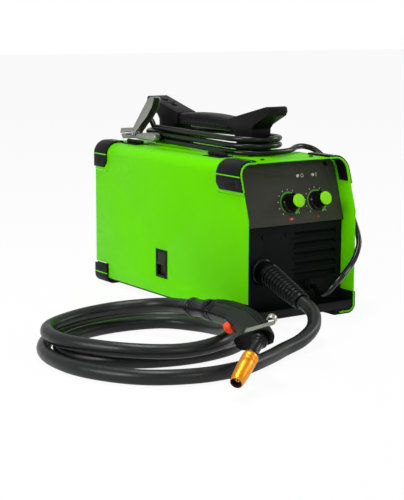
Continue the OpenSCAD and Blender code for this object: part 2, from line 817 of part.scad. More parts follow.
// Pose of the torch: the boss where the neck leaves, and the turn of the torch's own axes
torch_at = [-264.7, -472.3, 58];
torch_turn = [112.25, 22.99, -146.86];
module on_torch() translate(torch_at) rotate(torch_turn) children();
function turn_x(p, a) = [p[0], p[1] * cos(a) - p[2] * sin(a), p[1] * sin(a) + p[2] * cos(a)];
function turn_y(p, a) = [p[0] * cos(a) + p[2] * sin(a), p[1], -p[0] * sin(a) + p[2] * cos(a)];
function turn_z(p, a) = [p[0] * cos(a) - p[1] * sin(a), p[0] * sin(a) + p[1] * cos(a), p[2]];
function torch_dir(p) = turn_z(turn_y(turn_x(p, torch_turn[0]), torch_turn[1]), torch_turn[2]);
function torch_point(p) = torch_at + torch_dir(p);

// Middle of the handle's rear mouth, in torch axes: X along the nozzle, Z along the handle
grip_rear = [-114, 0, 125];
grip_a = -30;
grip_dir = [sin(grip_a), 0, cos(grip_a)];
boot_len = 62;
boot_plug = 12;
cable_start = torch_point(grip_rear + grip_dir * boot_len);
cable_out = torch_dir(grip_dir);
module on_grip_rear() translate(grip_rear) rotate([0, grip_a, 0]) children();

// Outline of the handle in torch X and Z: the boss at the neck, the inner side, the rear and the back
module shell_outline() {
    polygon([[0, -20], [0, 39], [-18, 43], [-33, 52], [-49, 67], [-62, 78], [-70, 88], [-82, 104], [-101, 132.5],
        [-127, 117.5], [-118, 98], [-104, 76], [-84, 50], [-60, 24], [-36, 4], [-14, -12]]);
}

// Half of the handle on one side of its seam, thinner at the boss
module torch_half(side) {
    wall = torch_t / 2;
    intersection() {
        rotate([90, 0, 0]) translate([0, 0, side > 0 ? -wall : 0]) linear_extrude(wall) shell_outline();
        scale([1, side, 1]) along_x(-far, far) polygon([[-1, -20], [wall - 8, -20], [wall - 2, -12], [wall, 0],
            [wall, far], [-1, far]]);
    }
}

trigger_w = 14;
trigger_h = 26;
trigger_in = 5;
trigger_at = [-49, 0, 67];
trigger_a = -49;

// Puts the trigger's own X out of the handle's inner side
module on_trigger() translate(trigger_at) rotate([0, trigger_a, 0]) children();

module torch_shell(side) difference() {
    torch_half(side);
    on_trigger() block([-trigger_in - trigger_travel - 1, -trigger_w / 2 - 0.4, -trigger_h / 2 - 0.4],
        [20, trigger_w / 2 + 0.4, trigger_h / 2 + 0.4]);
    bar_x(-12.5, 30, neck_r);
    on_grip_rear() translate([0, 0, -boot_plug - 1]) cylinder(r = cable_r + 1, h = boot_plug + 2);
}

module torch_shell_left() color(black) on_torch() torch_shell(1);
module torch_shell_right() color(black) on_torch() torch_shell(-1);

module torch_trigger() color(red) on_torch() on_trigger() rotate([90, 0, 0])
    linear_extrude(trigger_w, center = true) let (h = trigger_h / 2)
        polygon([[-trigger_in, -h], [1, -h], [6, -h + 6], [8, 0], [6, h - 6], [1, h], [-trigger_in, h]]);

module torch_boot() color(black) on_torch() on_grip_rear() rotate_extrude()
    polygon([[0, -boot_plug], [cable_r + 0.9, -boot_plug], [cable_r + 0.9, 0], [cable_r + 5, 0],
        [cable_r + 5, 12], [cable_r + 3.4, 14], [cable_r + 3.4, 18], [cable_r + 2.6, 20],
        [cable_r + 2.6, boot_len - 14], [cable_r + 4, boot_len - 12], [cable_r + 4, boot_len - 8],
        [cable_r + 2.4, boot_len - 6], [cable_r + 1.4, boot_len], [0, boot_len]]);

nozzle_x0 = 39;
module torch_neck() color(black) on_torch() {
    bar_x(-12, nozzle_x0, neck_r - 0.02);
    bar_x(0, 9, neck_r + 5.5);
    bar_x(9, 12, neck_r + 3);
    bar_x(nozzle_x0 - 5, nozzle_x0, nozzle_r - 1);
}

module torch_nozzle() color(brass) on_torch() translate([nozzle_x0, 0, 0]) rotate([0, 90, 0]) {
    wall = 1.6;
    rotate_extrude() polygon([[nozzle_r - 1.2, 0], [nozzle_r, 1.5], [nozzle_r, 9], [nozzle_r - 0.6, 10],
        [nozzle_r, 11], [nozzle_r, 22], [mouth_r + wall, nozzle_len - 6], [mouth_r + 0.6, nozzle_len],
        [mouth_r - wall, nozzle_len], [mouth_r - wall, 14], [4.4, 8], [4.4, 0]]);
}

module contact_tip() color([0.85, 0.5, 0.32]) on_torch() {
    tip_r = 4;
    difference() {
        union() {
            bar_x(nozzle_x0, nozzle_x0 + 34, tip_r);
            bar_x(nozzle_x0 + 34, nozzle_x0 + nozzle_len - 5, 3);
        }
        bar_x(nozzle_x0 + 20, far, wire_r + 0.3);
    }
}

// Steel strip on the boss, with an arm and a cross plate to hang the torch by
module torch_hook() color(steel) on_torch() {
    side_y = torch_t / 2;
    strip_t = 1.6;
    block([-7, side_y, -22], [1, side_y + strip_t, 16]);
    block([-6, side_y, -38], [0, side_y + strip_t, -22]);
    block([-7, 0, -39.6], [3, side_y + 8, -38]);
}

// Route of the torch cable: from the strain relief, three loops on the floor, up to the torch
torch_route = [relief_end, relief_end + relief_dir * 22,
    [-69, -338, 34.5], [-88, -357, 24], [-120, -372, 15], [-162, -386, 10.6], [-204, -408, 10.3],
    [-262, -431, 10.3], [-330, -431, 10.3], [-395, -398, 10.3], [-436, -332, 10.3], [-445, -262, 10.3],
    [-427, -195, 10.3], [-378, -137, 10.3], [-300, -109, 10.3], [-222, -111, 10.3], [-168, -146, 10.3],
    [-149, -207, 10.3], [-157, -275, 10.3], [-194, -326, 10.3], [-260, -347, 10.3], [-330, -339, 10.3],
    [-388, -304, 10.3], [-416, -250, 10.3], [-401, -194, 10.3], [-353, -153, 10.3], [-280, -136, 10.3],
    [-210, -151, 10.6], [-177, -200, 11.2], [-177, -260, 17], [-196, -318, 31], [-250, -369, 31.2],
    [-320, -375, 29], [-388, -332, 31.2], [-428, -250, 32], [-411, -178, 32], [-350, -146, 35],
    [-290, -142, 38], [-246, -163, 42], [-226, -190, 46],
    cable_start + cable_out * 24, cable_start];

module torch_cable() color(black) tube(smooth_path(torch_route, 2), cable_r, 10);

// ---- Ground lead and clamp ----

module ground_bushing() color(black) translate([bushing_x, 0, bushing_z]) {
    bar_y(front_panel_y - 4, front_panel_y, bushing_r + 2.6);
    bar_y(front_panel_y - 10, front_panel_y - 4, bushing_r + 1);
    bar_y(front_panel_y - 1, front_panel_y + 8, bushing_r - 0.1);
}

coil_r = 46;
coil_half = 107.5;
coil_z = 248.5;
coil_y = handle_y - 4;
coil_lap = 4 * coil_half + 2 * PI * coil_r;
coil_rings = 24;

// Point of the coil's race-track at a distance s from its front middle, first going left
function lap_point(s) = let (q = PI * coil_r / 2, straight = 2 * coil_half)
    s < q ? let (a = s / coil_r * 180 / PI) [-coil_r * sin(a), -coil_half - coil_r * cos(a)]
    : s < q + straight ? [-coil_r, -coil_half + s - q]
    : s < 3 * q + straight ? let (a = (s - q - straight) / coil_r * 180 / PI)
        [-coil_r * cos(a), coil_half + coil_r * sin(a)]
    : s < 3 * q + 2 * straight ? [coil_r, coil_half - (s - 3 * q - straight)]
    : let (a = (s - 3 * q - 2 * straight) / coil_r * 180 / PI) [coil_r * cos(a), -coil_half - coil_r * sin(a)];
function coil_point(turn) = let (p = lap_point((turn - floor(turn)) * coil_lap))
    [p[0], p[1] + coil_y, coil_z + turn * coil_pitch];
coil_path = [for (i = [0 : round(coil_loops * coil_rings)]) coil_point(i / coil_rings)];
coil_gap = min([for (i = [0 : len(coil_path) - 1]) for (j = [i + coil_rings / 2 : len(coil_path) - 1])
    norm(coil_path[j] - coil_path[i])]) - 2 * lead_r;
echo("ground coil: least gap to itself, mm", coil_gap);
echo("ground coil: length, mm", path_length(coil_path));

module ground_coil() color(black) tube(coil_path, lead_r, 6);

bushing_out = [bushing_x, front_panel_y - 10, bushing_z];
coil_start = coil_path[0];
coil_end = coil_path[len(coil_path) - 1];
coil_end_dir = unit(coil_end - coil_path[len(coil_path) - 2]);

// Pose of the clamp: its pin runs across the case and its jaws point to the rear
clamp_at = [-58.4, 160, 261];
clamp_dip = 5;
module on_clamp() translate(clamp_at) rotate([-clamp_dip, 0, 0]) children();
function clamp_point(p) = clamp_at + turn_x(p, -clamp_dip);
lower_w = clamp_w - 2 * clamp_t - 0.8;
lug_foot = [15, 30, -5.4];
lug_dir = [0, -0.6, 0.8];
lug_len = 14;
lug_at = clamp_point(lug_foot + lug_dir * lug_len);

lead_route = [bushing_out, bushing_out + [-1, -9.5, -0.5], [28.5, -226.5, 40], [27.3, -238.4, 40.7],
    [30.6, -248.5, 46.6], [38.1, -254.4, 57], [53.6, -253, 67.9], [74, -243, 76], [91, -236, 87], [104, -229, 100],
    [113, -221, 112], [119, -208, 128], [120.5, -190, 156], [119, -170, 190], [115, -148, 222], [108, -121, 244],
    [94, -107, 251.5], [74, -110, 252], [50, -124, 249], coil_start + [24, 2, 0], coil_start];
tail_route = [coil_end, coil_end + coil_end_dir * 12, [-43.8, 136, 283], [-43.1, 152, 289], [-43.1, 164, 286],
    lug_at + turn_x(lug_dir, -clamp_dip) * 12, lug_at];

module ground_lead() color(black) {
    tube(smooth_path(lead_route, 3), lead_r, 8);
    tube(smooth_path(tail_route, 3), lead_r, 8);
}

torch_fine = smooth_path(torch_route, 6);
// Points further apart than six cable widths along the cable are compared with each other
torch_gap = min([for (i = [0 : len(torch_fine) - 1]) min(concat([far], [for (j = [i + 12 : 1 : len(torch_fine) - 1])
    norm(torch_fine[j] - torch_fine[i])]))]) - 2 * cable_r;
echo("torch cable: least gap to itself, mm", torch_gap);
echo("torch cable: length, mm", path_length(torch_fine));
echo("ground lead: length of the free ends, mm",
    path_length(smooth_path(lead_route, 8)) + path_length(smooth_path(tail_route, 8)));

// Point of a clamp lever's side view: d along the handle and o above its middle line
function handle_point(a, d, o) = [-6 - d * cos(a) + o * sin(a), 4 + d * sin(a) + o * cos(a)];

// One clamp lever in clamp axes, a bent channel: Y along the jaws, Z away from the other lever
module clamp_lever(w, a, l) {
    inside = w / 2 - clamp_t;
    bend = 0.45 * l;
    difference() {
        along_x(-w / 2, w / 2) polygon([[clamp_jaw, 0.5], [clamp_jaw, 2], [clamp_jaw - 4, 9], [-2, 9],
            handle_point(a, bend, 7), handle_point(a, l - 8, 7), handle_point(a, l - 2, 4.5), handle_point(a, l, 0),
            handle_point(a, l - 2, -5), handle_point(a, l - 8, -6.5), handle_point(a, bend, -5.5),
            [-9, 2], [-5, -5], [4, -5], [6, 3], [clamp_jaw - 18, 3], [clamp_jaw - 14, 0.5]]);
        along_x(-inside, inside) polygon([[clamp_jaw - 3.5, -20], [clamp_jaw - 3.5, 2.6],
            [clamp_jaw - 5.2, 9 - clamp_t], [-2.6, 9 - clamp_t], handle_point(a, bend, 7 - clamp_t),
            handle_point(a, l - 8, 7 - clamp_t), handle_point(a, l - 3.4, 3.4), handle_point(a, l - 1.6, -1),
            handle_point(a, l - 1.6, -30), [-9, -20]]);
        bar_x(-far, far, clamp_pin_r + run_gap);
    }
}

module clamp_upper_lever() color(steel) on_clamp() {
    clamp_lever(clamp_w, 42, clamp_handle);
}

module clamp_lower_lever() color(steel) on_clamp() scale([1, 1, -1])
    clamp_lever(lower_w, 4, clamp_handle * 0.72);

module clamp_pivot() color(steel) on_clamp() {
    bar_x(-clamp_w / 2 - 0.8, clamp_w / 2 + 0.8, clamp_pin_r);
    for (side = [-1, 1]) scale([side, 1, 1]) bar_x(clamp_w / 2 + 0.4, clamp_w / 2 + 1.6, clamp_pin_r + 1.6);
}

spring_mean_r = 5;
spring_wire_r = 0.7;
spring_curls = 3;
module clamp_spring() color(steel) on_clamp() tube([for (i = [0 : spring_curls * 8]) let (a = 45 * i)
    [(i / 8 - spring_curls / 2) * 2, spring_mean_r * cos(a), spring_mean_r * sin(a)]], spring_wire_r, 6);

module clamp_lug() color(brass) on_clamp() {
    translate(lug_foot) aim(lug_dir) cylinder(r = lead_r + 0.5, h = lug_len);
    block([lower_w / 2, lug_foot[1] - 5, lug_foot[2] - 2.5], [lug_foot[0] + 4, lug_foot[1] + 5, lug_foot[2]]);
}

// ---- Wire drive ----

drive_z = wire_z - drive_r;
idler_z = wire_z + wire_r + roll_gap + idler_r;
frame_x = divider_x - 8;
spool_x0 = wire_x - 3 - spool_w / 2;
spool_x1 = wire_x - 3 + spool_w / 2;
hub_end = spool_x0 - 4;
flange_t = 4;
arm_pivot_y = roll_y + 33;
arm_pivot_z = wire_z + 20;
stem_x = wire_x + 11;
stem_y = roll_y - 33;
stem_z = 58;
arm_top = wire_z + 24;
arm_x0 = wire_x + 8;
arm_x1 = wire_x + 14;

module spool_hub() color(dark) translate([0, spool_y, spool_z]) difference() {
    union() {
        bar_x(divider_x - 6, divider_x, spool_bore_r + 10);
        bar_x(hub_end + 2, divider_x - 6, spool_bore_r - run_gap);
        bar_x(hub_end - 9, hub_end + 2, 8);
    }
    bar_x(hub_end + 12, 1, spool_bore_r - 6);
}

module hub_nut() color(black) translate([0, spool_y, spool_z]) difference() {
    union() {
        bar_x(hub_end - 6, hub_end + 1.5, spool_bore_r + 4);
        bar_x(hub_end - 9.5, hub_end - 6, 13);
        for (a = [0 : 45 : 359]) rotate([a, 0, 0]) translate([0, spool_bore_r + 4, 0])
            bar_x(hub_end - 6, hub_end + 1.5, 2.5);
    }
    bar_x(hub_end - 20, hub_end + 5, 8 + run_gap);
}

module wire_spool() color(dark) translate([0, spool_y, spool_z]) difference() {
    union() {
        bar_x(spool_x0, spool_x0 + flange_t, spool_d / 2);
        bar_x(spool_x1 - flange_t, spool_x1, spool_d / 2);
        bar_x(spool_x0, spool_x1, spool_bore_r + 4);
    }
    bar_x(spool_x0 - 1, spool_x1 + 1, spool_bore_r);
    for (a = [0 : 60 : 359]) rotate([a, 0, 0]) translate([0, (spool_bore_r + 4 + winding_r) / 2, 0])
        bar_x(spool_x0 - 1, spool_x0 + flange_t + 1, 12);
}

module wire_winding() color(steel) translate([0, spool_y, spool_z]) difference() {
    bar_x(spool_x0 + flange_t, spool_x1 - flange_t, winding_r);
    bar_x(spool_x0, spool_x1, spool_bore_r + 4 + sheet_gap);
}

guide_y = roll_y + 37;
guide_end_y = guide_y + 12;
// Where the wire leaves the winding, on a line that ends at the inlet guide
wire_leave = let (d = [guide_end_y - spool_y, wire_z - spool_z], r = winding_r + wire_r + roll_gap,
    a = atan2(d[1], d[0]) + acos(r / norm(d))) [wire_x, spool_y + r * cos(a), spool_z + r * sin(a)];

module welding_wire() color(steel) {
    inlet = [wire_x, guide_end_y, wire_z];
    tube([wire_leave, inlet + (wire_leave - inlet) * 0.01, inlet - [0, 1, 0], [wire_x, front_panel_y + 10, wire_z]],
        wire_r, 8);
}

lug_x0 = stem_x - 10;
module feed_frame() color(dark) difference() {
    union() {
        block([frame_x, stem_y - 10, 36], [divider_x, guide_end_y, 108]);
        block([wire_x - 6, guide_y, wire_z - 6], [frame_x, guide_end_y, wire_z + 6]);
        block([wire_x - 6, roll_y - 25, wire_z - 6], [frame_x, roll_y - 18, wire_z + 6]);
        block([lug_x0, stem_y - 8, stem_z - 8], [frame_x, stem_y + 8, stem_z + 8]);
        translate([wire_x, 0, wire_z]) bar_y(front_panel_y + 9, roll_y - 24, 3);
        translate([0, arm_pivot_y, arm_pivot_z]) bar_x(arm_x0 - 2, frame_x, 4);
        translate([0, arm_pivot_y, arm_pivot_z]) bar_x(arm_x1 + 0.4, frame_x, 7);
    }
    translate([0, roll_y, drive_z]) bar_x(-far, far, 8);
    translate([wire_x, 0, wire_z]) bar_y(-far, far, wire_r + 0.6);
    block([stem_x - 7, -far, stem_z - 20], [stem_x + 7, stem_y + 5, stem_z + 20]);
    translate([0, stem_y, stem_z]) bar_x(-far, frame_x + 2, 2);
}

gear_w = 2 * motor_r + 4;
motor_x0 = divider_x + sheet_t + 22;
motor_len = 56.5;

module feed_motor() color(steel) translate([0, roll_y, drive_z]) difference() {
    union() {
        block([divider_x + sheet_t, -gear_w / 2, -gear_w / 2], [motor_x0, gear_w / 2, gear_w / 2]);
        bar_x(motor_x0, motor_x0 + motor_len, motor_r);
        bar_x(motor_x0 + motor_len, motor_x0 + motor_len + 4, 9);
    }
    bar_x(divider_x - 1, divider_x + sheet_t + 12, 5 + run_gap);
}

module drive_roll() color(steel) translate([0, roll_y, drive_z]) difference() {
    union() {
        bar_x(wire_x - roll_w / 2, wire_x + roll_w / 2, drive_r);
        bar_x(wire_x - roll_w / 2 - 5, divider_x + sheet_t + 11, 5);
        bar_x(wire_x - roll_w / 2 - 9, wire_x - roll_w / 2, 9);
    }
    translate([wire_x, 0, 0]) rotate([0, 90, 0]) rotate_extrude() translate([drive_r, 0]) circle(wire_r + roll_gap);
}

module pressure_arm() color([0.24, 0.24, 0.25]) difference() {
    union() {
        along_x(arm_x0, arm_x1) {
            translate([arm_pivot_y, arm_pivot_z]) circle(9);
            translate([roll_y, idler_z]) circle(9);
            polygon([[arm_pivot_y, arm_pivot_z + 9], [roll_y, idler_z + 9], [roll_y, idler_z - 9],
                [arm_pivot_y, arm_pivot_z - 9]]);
            polygon([[roll_y, idler_z - 6], [roll_y, idler_z + 9], [stem_y + 6, arm_top],
                [stem_y + 6, arm_top - 9]]);
        }
        block([stem_x - 7, stem_y - 8, arm_top - 10], [stem_x + 7, stem_y + 8, arm_top]);
        translate([0, roll_y, idler_z]) bar_x(wire_x - roll_w / 2 - 2, arm_x1, 3);
        translate([0, roll_y, idler_z]) bar_x(wire_x - roll_w / 2 - 3.5, wire_x - roll_w / 2 - 0.5, 5);
    }
    block([stem_x - 2.9, stem_y - far, arm_top - 20], [stem_x + 2.9, stem_y + 4, arm_top + 20]);
    translate([0, arm_pivot_y, arm_pivot_z]) bar_x(-far, far, 4 + run_gap);
}

module idler_roll() color(steel) translate([0, roll_y, idler_z]) difference() {
    bar_x(wire_x - roll_w / 2, wire_x + roll_w / 2, idler_r);
    bar_x(-far, far, 3 + run_gap);
}

// The spring stands clear of the arm, which rises while the screw swings off it
spring_low = arm_top + 5.5;
spring_high = arm_top + 15;

module tension_screw() color(steel) translate([stem_x, stem_y, stem_z]) {
    rotate([0, 90, 0]) cylinder(r = 4, h = 12, center = true);
    cylinder(r = 2.5, h = spring_high + 20 - stem_z);
    rotate([0, 90, 0]) translate([0, 0, -10]) cylinder(r = 2 - run_gap, h = 22);
}

module tension_knob() color(black) translate([stem_x, stem_y, spring_high]) difference() {
    union() {
        cylinder(r = 8, h = 5);
        translate([0, 0, 5]) cylinder(r = 10, h = 19);
    }
    translate([0, 0, -1]) cylinder(r = 2.5 + run_gap, h = 21.4);
}

tension_curls = 4;
module tension_spring() color(steel) translate([stem_x, stem_y, 0]) {
    coil_h = spring_high - spring_low - 2 * spring_wire_r;
    tube([for (i = [0 : tension_curls * 8]) [4.6 * cos(45 * i), 4.6 * sin(45 * i),
        spring_low + spring_wire_r + coil_h * i / (8 * tension_curls)]], spring_wire_r, 6);
}

// ---- Fan, electronics and mains side ----

fan_y1 = rear_panel_y - sheet_t;
fan_y0 = fan_y1 - fan_d;

module fan_frame() color(black) translate([fan_x, 0, fan_z]) {
    difference() {
        block([-fan_w / 2, fan_y0, -fan_w / 2], [fan_w / 2, fan_y1, fan_w / 2]);
        bar_y(-far, far, fan_w / 2 - 3);
    }
    for (a = [0 : 90 : 359]) rotate([0, a + 45, 0]) block([-1.5, fan_y0, 12], [1.5, fan_y0 + 4, fan_w / 2 - 2]);
    bar_y(fan_y0, fan_y0 + 4, 16);
    bar_y(fan_y0 + 4, fan_y0 + 16, 2);
}

module fan_rotor() color(dark) translate([fan_x, 0, fan_z]) difference() {
    union() {
        bar_y(fan_y0 + 4.6, fan_y1 - 3, 16);
        for (i = [0 : blade_count - 1]) rotate([0, i * 360 / blade_count, 0])
            translate([0, fan_y0 + fan_d / 2 + 1, 0]) rotate([0, 0, 35]) block([-10, -1, 12], [10, 1, fan_w / 2 - 7]);
    }
    bar_y(-far, fan_y0 + 17, 2 + run_gap);
}

board_z = 30;
board_y0 = -44;
board_y1 = 150;
board_x0 = divider_x + 20;
board_x1 = half_w - 7;

module inverter_board() color([0.10, 0.35, 0.20]) {
    difference() {
        block([board_x0, board_y0, board_z], [board_x1, board_y1, board_z + 1.6]);
        for (x = [board_x0 + 6, board_x1 - 6]) for (y = [board_y0 + 6, board_y1 - 6]) translate([x, y, 0])
            cylinder(r = 2, h = 60);
    }
    // Standoffs, heat sinks, transformer and capacitors
    for (x = [board_x0 + 6, board_x1 - 6]) for (y = [board_y0 + 6, board_y1 - 6]) translate([x, y, floor_z])
        cylinder(r = 4, h = board_z - floor_z);
    for (i = [0 : 8]) translate([board_x0 + 10 + 4 * i, 60, board_z + 1.6]) cube([1.6, 80, 44.4]);
    block([board_x0 + 8, 60, board_z + 1.6], [board_x0 + 46, 140, board_z + 6]);
    block([board_x1 - 44, 84, board_z + 1.6], [board_x1 - 4, 136, board_z + 48]);
    for (k = [0 : 2]) translate([board_x1 - 26, -26 + k * 34, board_z + 1.6]) cylinder(r = 14, h = 38);
}

module power_gland() color(black) translate([gland_x, 0, gland_z]) difference() {
    union() {
        bar_y(rear_panel_y - sheet_t - 9, rear_panel_y, gland_hole_r - 0.1);
        translate([0, rear_panel_y + 7, 0]) rotate([90, 0, 0]) cylinder(r = 12, h = 7, $fn = 6);
        bar_y(rear_panel_y + 7, rear_panel_y + 20, 9);
        bar_y(rear_panel_y - sheet_t - 6, rear_panel_y - sheet_t, 11);
    }
    bar_y(rear_panel_y - 40, rear_panel_y + 40, gland_bore_r);
}
gland_bore_r = 5;

module power_switch() color(black) translate([switch_x, rear_panel_y, switch_z]) difference() {
    union() {
        block([-switch_w / 2, 0, -switch_h / 2], [switch_w / 2, 2, switch_h / 2]);
        block([-switch_w / 2 + 1.7, -22, -switch_h / 2 + 1.7], [switch_w / 2 - 1.7, 0, switch_h / 2 - 1.7]);
    }
    block([-switch_w / 2 + 4, -9, -switch_h / 2 + 3], [switch_w / 2 - 4, 10, switch_h / 2 - 3]);
    translate([0, -2, 0]) bar_x(-switch_w / 2 + 2.5, switch_w / 2 - 2.5, 1.5);
}

module switch_rocker() color(red) translate([switch_x, rear_panel_y - 2, switch_z]) {
    along_x(-switch_w / 2 + 4.5, switch_w / 2 - 4.5)
        polygon([[-3, -4], [4.5, -7.2], [5.8, -7], [4.6, 0], [5.8, 7], [4.5, 7.2], [-3, 4]]);
    bar_x(-switch_w / 2 + 2.8, switch_w / 2 - 2.8, 1.5 - run_gap);
}

base_pan();
case_cover();
rear_panel();
lower_front_panel();
control_panel();
centre_divider();
wire_door();
door_hinges();
door_hinge_leaves();
latch_bezel();
latch_slider();
top_corner_guards();
base_corner_guards();
guard_inlays();
case_screws();
carry_handle();
handle_grip();
voltage_knob();
voltage_cap();
speed_knob();
speed_cap();
potentiometers();
indicator_lamps();
torch_relief();
torch_cable();
torch_boot();
torch_shell_left();
torch_shell_right();
torch_trigger();
torch_neck();
torch_nozzle();
contact_tip();
torch_hook();
ground_bushing();
ground_lead();
ground_coil();
clamp_lower_lever();
clamp_upper_lever();
clamp_pivot();
clamp_spring();
clamp_lug();
spool_hub();
hub_nut();
wire_spool();
wire_winding();
welding_wire();
feed_frame();
feed_motor();
drive_roll();
pressure_arm();
idler_roll();
tension_screw();
tension_knob();
tension_spring();
fan_frame();
fan_rotor();
inverter_board();
power_gland();
power_switch();
switch_rocker();
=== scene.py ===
# %% [markdown]
# # A portable wire welder, dressed piece by piece
# The machine is a steel case with a wire feeder inside, a torch on a thick cable and a
# ground clamp on a thin lead. Its solids come in as a fixed frame, already in place, so
# every piece is made in metres where the frame says it belongs.

# %% Frame
import json
from math import acos, atan, atan2, copysign, cos, exp, hypot, pi, radians, sin, tan

import bmesh
import bpy
from mathutils import Matrix, Vector


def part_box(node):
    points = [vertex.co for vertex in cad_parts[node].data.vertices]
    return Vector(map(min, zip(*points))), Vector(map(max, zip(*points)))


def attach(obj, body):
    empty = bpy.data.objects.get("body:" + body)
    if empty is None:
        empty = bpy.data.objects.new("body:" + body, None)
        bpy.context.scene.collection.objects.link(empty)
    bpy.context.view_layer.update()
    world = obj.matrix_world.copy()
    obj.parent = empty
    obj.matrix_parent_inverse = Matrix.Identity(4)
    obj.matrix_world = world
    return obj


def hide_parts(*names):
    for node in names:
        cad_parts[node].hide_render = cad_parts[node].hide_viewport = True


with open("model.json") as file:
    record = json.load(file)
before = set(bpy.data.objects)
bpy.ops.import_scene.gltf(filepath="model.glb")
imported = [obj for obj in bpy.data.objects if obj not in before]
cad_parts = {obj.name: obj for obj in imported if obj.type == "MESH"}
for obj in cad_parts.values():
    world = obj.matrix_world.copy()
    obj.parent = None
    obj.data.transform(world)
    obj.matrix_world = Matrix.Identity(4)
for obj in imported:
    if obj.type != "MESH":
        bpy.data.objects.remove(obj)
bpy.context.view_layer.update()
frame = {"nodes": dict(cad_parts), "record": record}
MM = 0.001

# %% [markdown]
# ## Camera
# A long lens a little above the bench looks at the front left corner of the case. A
# camera can be turned by three angles, but here its axes are given as the direction it
# looks in and the direction of its right side, because two unit vectors are easier to
# check.

# %% Camera
FOCAL_PIXELS = 1345.68
FRAME_PIXELS = (404, 500)
look = Vector((0.55528, 0.81352, -0.17278)).normalized()
right = Vector((0.82622, -0.56334, 0.00283))
right = (right - look * right.dot(look)).normalized()
camera_data = bpy.data.cameras.new("studio_camera")
camera_data.sensor_width = 36.0
camera_data.lens = FOCAL_PIXELS * camera_data.sensor_width / max(FRAME_PIXELS)
camera_data.clip_end = 50
camera = bpy.data.objects.new("studio_camera", camera_data)
bpy.context.scene.collection.objects.link(camera)
aim = Matrix((right, right.cross(look), -look)).transposed().to_4x4()
camera.matrix_world = Matrix.Translation((-1.25623, -1.79304, 0.46016)) @ aim
bpy.context.scene.camera = camera
print("lens", round(camera_data.lens, 2), "mm")

# %% [markdown]
# ## Small helpers
# Colours are written as the hex values of a paint chip and turned to linear light once.
# One function adds a shader node with its settings and links. Another puts a finished
# piece on the body of the solid that it belongs with and lets it stand for that solid, so
# the record stays the only place that says what moves with what.

# %% Helpers
body_of = {n: b for b, names in frame["record"]["behaviour"]["bodies"].items() for n in names}


def linear(hex_colour):
    """The linear colour of an sRGB hex value."""
    channels = [int(hex_colour[i:i + 2], 16) / 255 for i in (1, 3, 5)]
    return [c / 12.92 if c <= 0.04045 else ((c + 0.055) / 1.055) ** 2.4 for c in channels] + [1.0]


def feed(tree, node, values):
    """Fills a node's inputs: a node or a socket is linked, anything else is written."""
    for name, value in values.items():
        if isinstance(value, bpy.types.Node):
            value = next(socket for socket in value.outputs if socket.enabled)
        if isinstance(value, bpy.types.NodeSocket):
            tree.links.new(value, node.inputs[name])
        else:
            node.inputs[name].default_value = value
    return node


def add_node(tree, kind, values=None, **settings):
    node = tree.nodes.new(kind)
    for name, value in settings.items():
        setattr(node, name, value)
    return feed(tree, node, values or {})


def dress(piece, material):
    piece.data.materials.clear()
    piece.data.materials.append(material)
    return piece


def settle(piece, node, material=None, *more, replaces=True):
    """Puts a piece on the body of a solid, which it stands for, perhaps with more."""
    if material:
        dress(piece, material)
    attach(piece, body_of[node])
    if replaces:
        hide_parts(node, *more)
    return piece


def new_piece(name, data):
    piece = bpy.data.objects.new(name, data)
    bpy.context.scene.collection.objects.link(piece)
    return piece


def crisp(mesh, angle=32):
    """Smooth shading that stays sharp where faces meet at more than the angle."""
    mesh.shade_smooth()
    mesh.set_sharp_from_angle(angle=radians(angle))


def to_piece(name, shape, place=None, shade=None):
    """Turns a finished bmesh into a piece, moved to its place."""
    if place:
        shape.transform(place)
    mesh = bpy.data.meshes.new(name)
    shape.to_mesh(mesh)
    shape.free()
    if shade:
        crisp(mesh, shade)
    return new_piece(name, mesh)


def mm(x, y, z):
    """A place given in mm."""
    return Vector((x, y, z)) * MM


def move(by):
    return Matrix.Translation(by)


def turn(degrees, axis):
    return Matrix.Rotation(radians(degrees), 4, axis)


def smooth_path(points, steps):
    """Points along one smooth Catmull-Rom curve, which passes through every given point."""
    path = []
    points = [Vector(p) for p in points]
    for i in range(len(points) - 1):
        before = points[i - 1] if i else 2 * points[0] - points[1]
        after = points[i + 2] if i + 2 < len(points) else 2 * points[-1] - points[-2]
        a, b = points[i], points[i + 1]
        for k in range(steps):
            t = k / steps
            path.append(0.5 * (2 * a + (b - before) * t + (2 * before - 5 * a + 4 * b - after) * t * t
                               + (3 * a - before - 3 * b + after) * t ** 3))
    return path + [points[-1]]


def length_of(path):
    return sum((b - a).length for a, b in zip(path, path[1:]))


# %% [markdown]
# ## Finishes for the cords
# Welding cable has a thick jacket of soft black rubber. It is dull, but its broad round
# back still catches a long pale light. The ground lead's jacket is smoother, so its light
# is narrower and brighter. Both get faint scuffs and a pressed skin. The real skin is too
# fine to show, so it is drawn about a millimetre coarse.

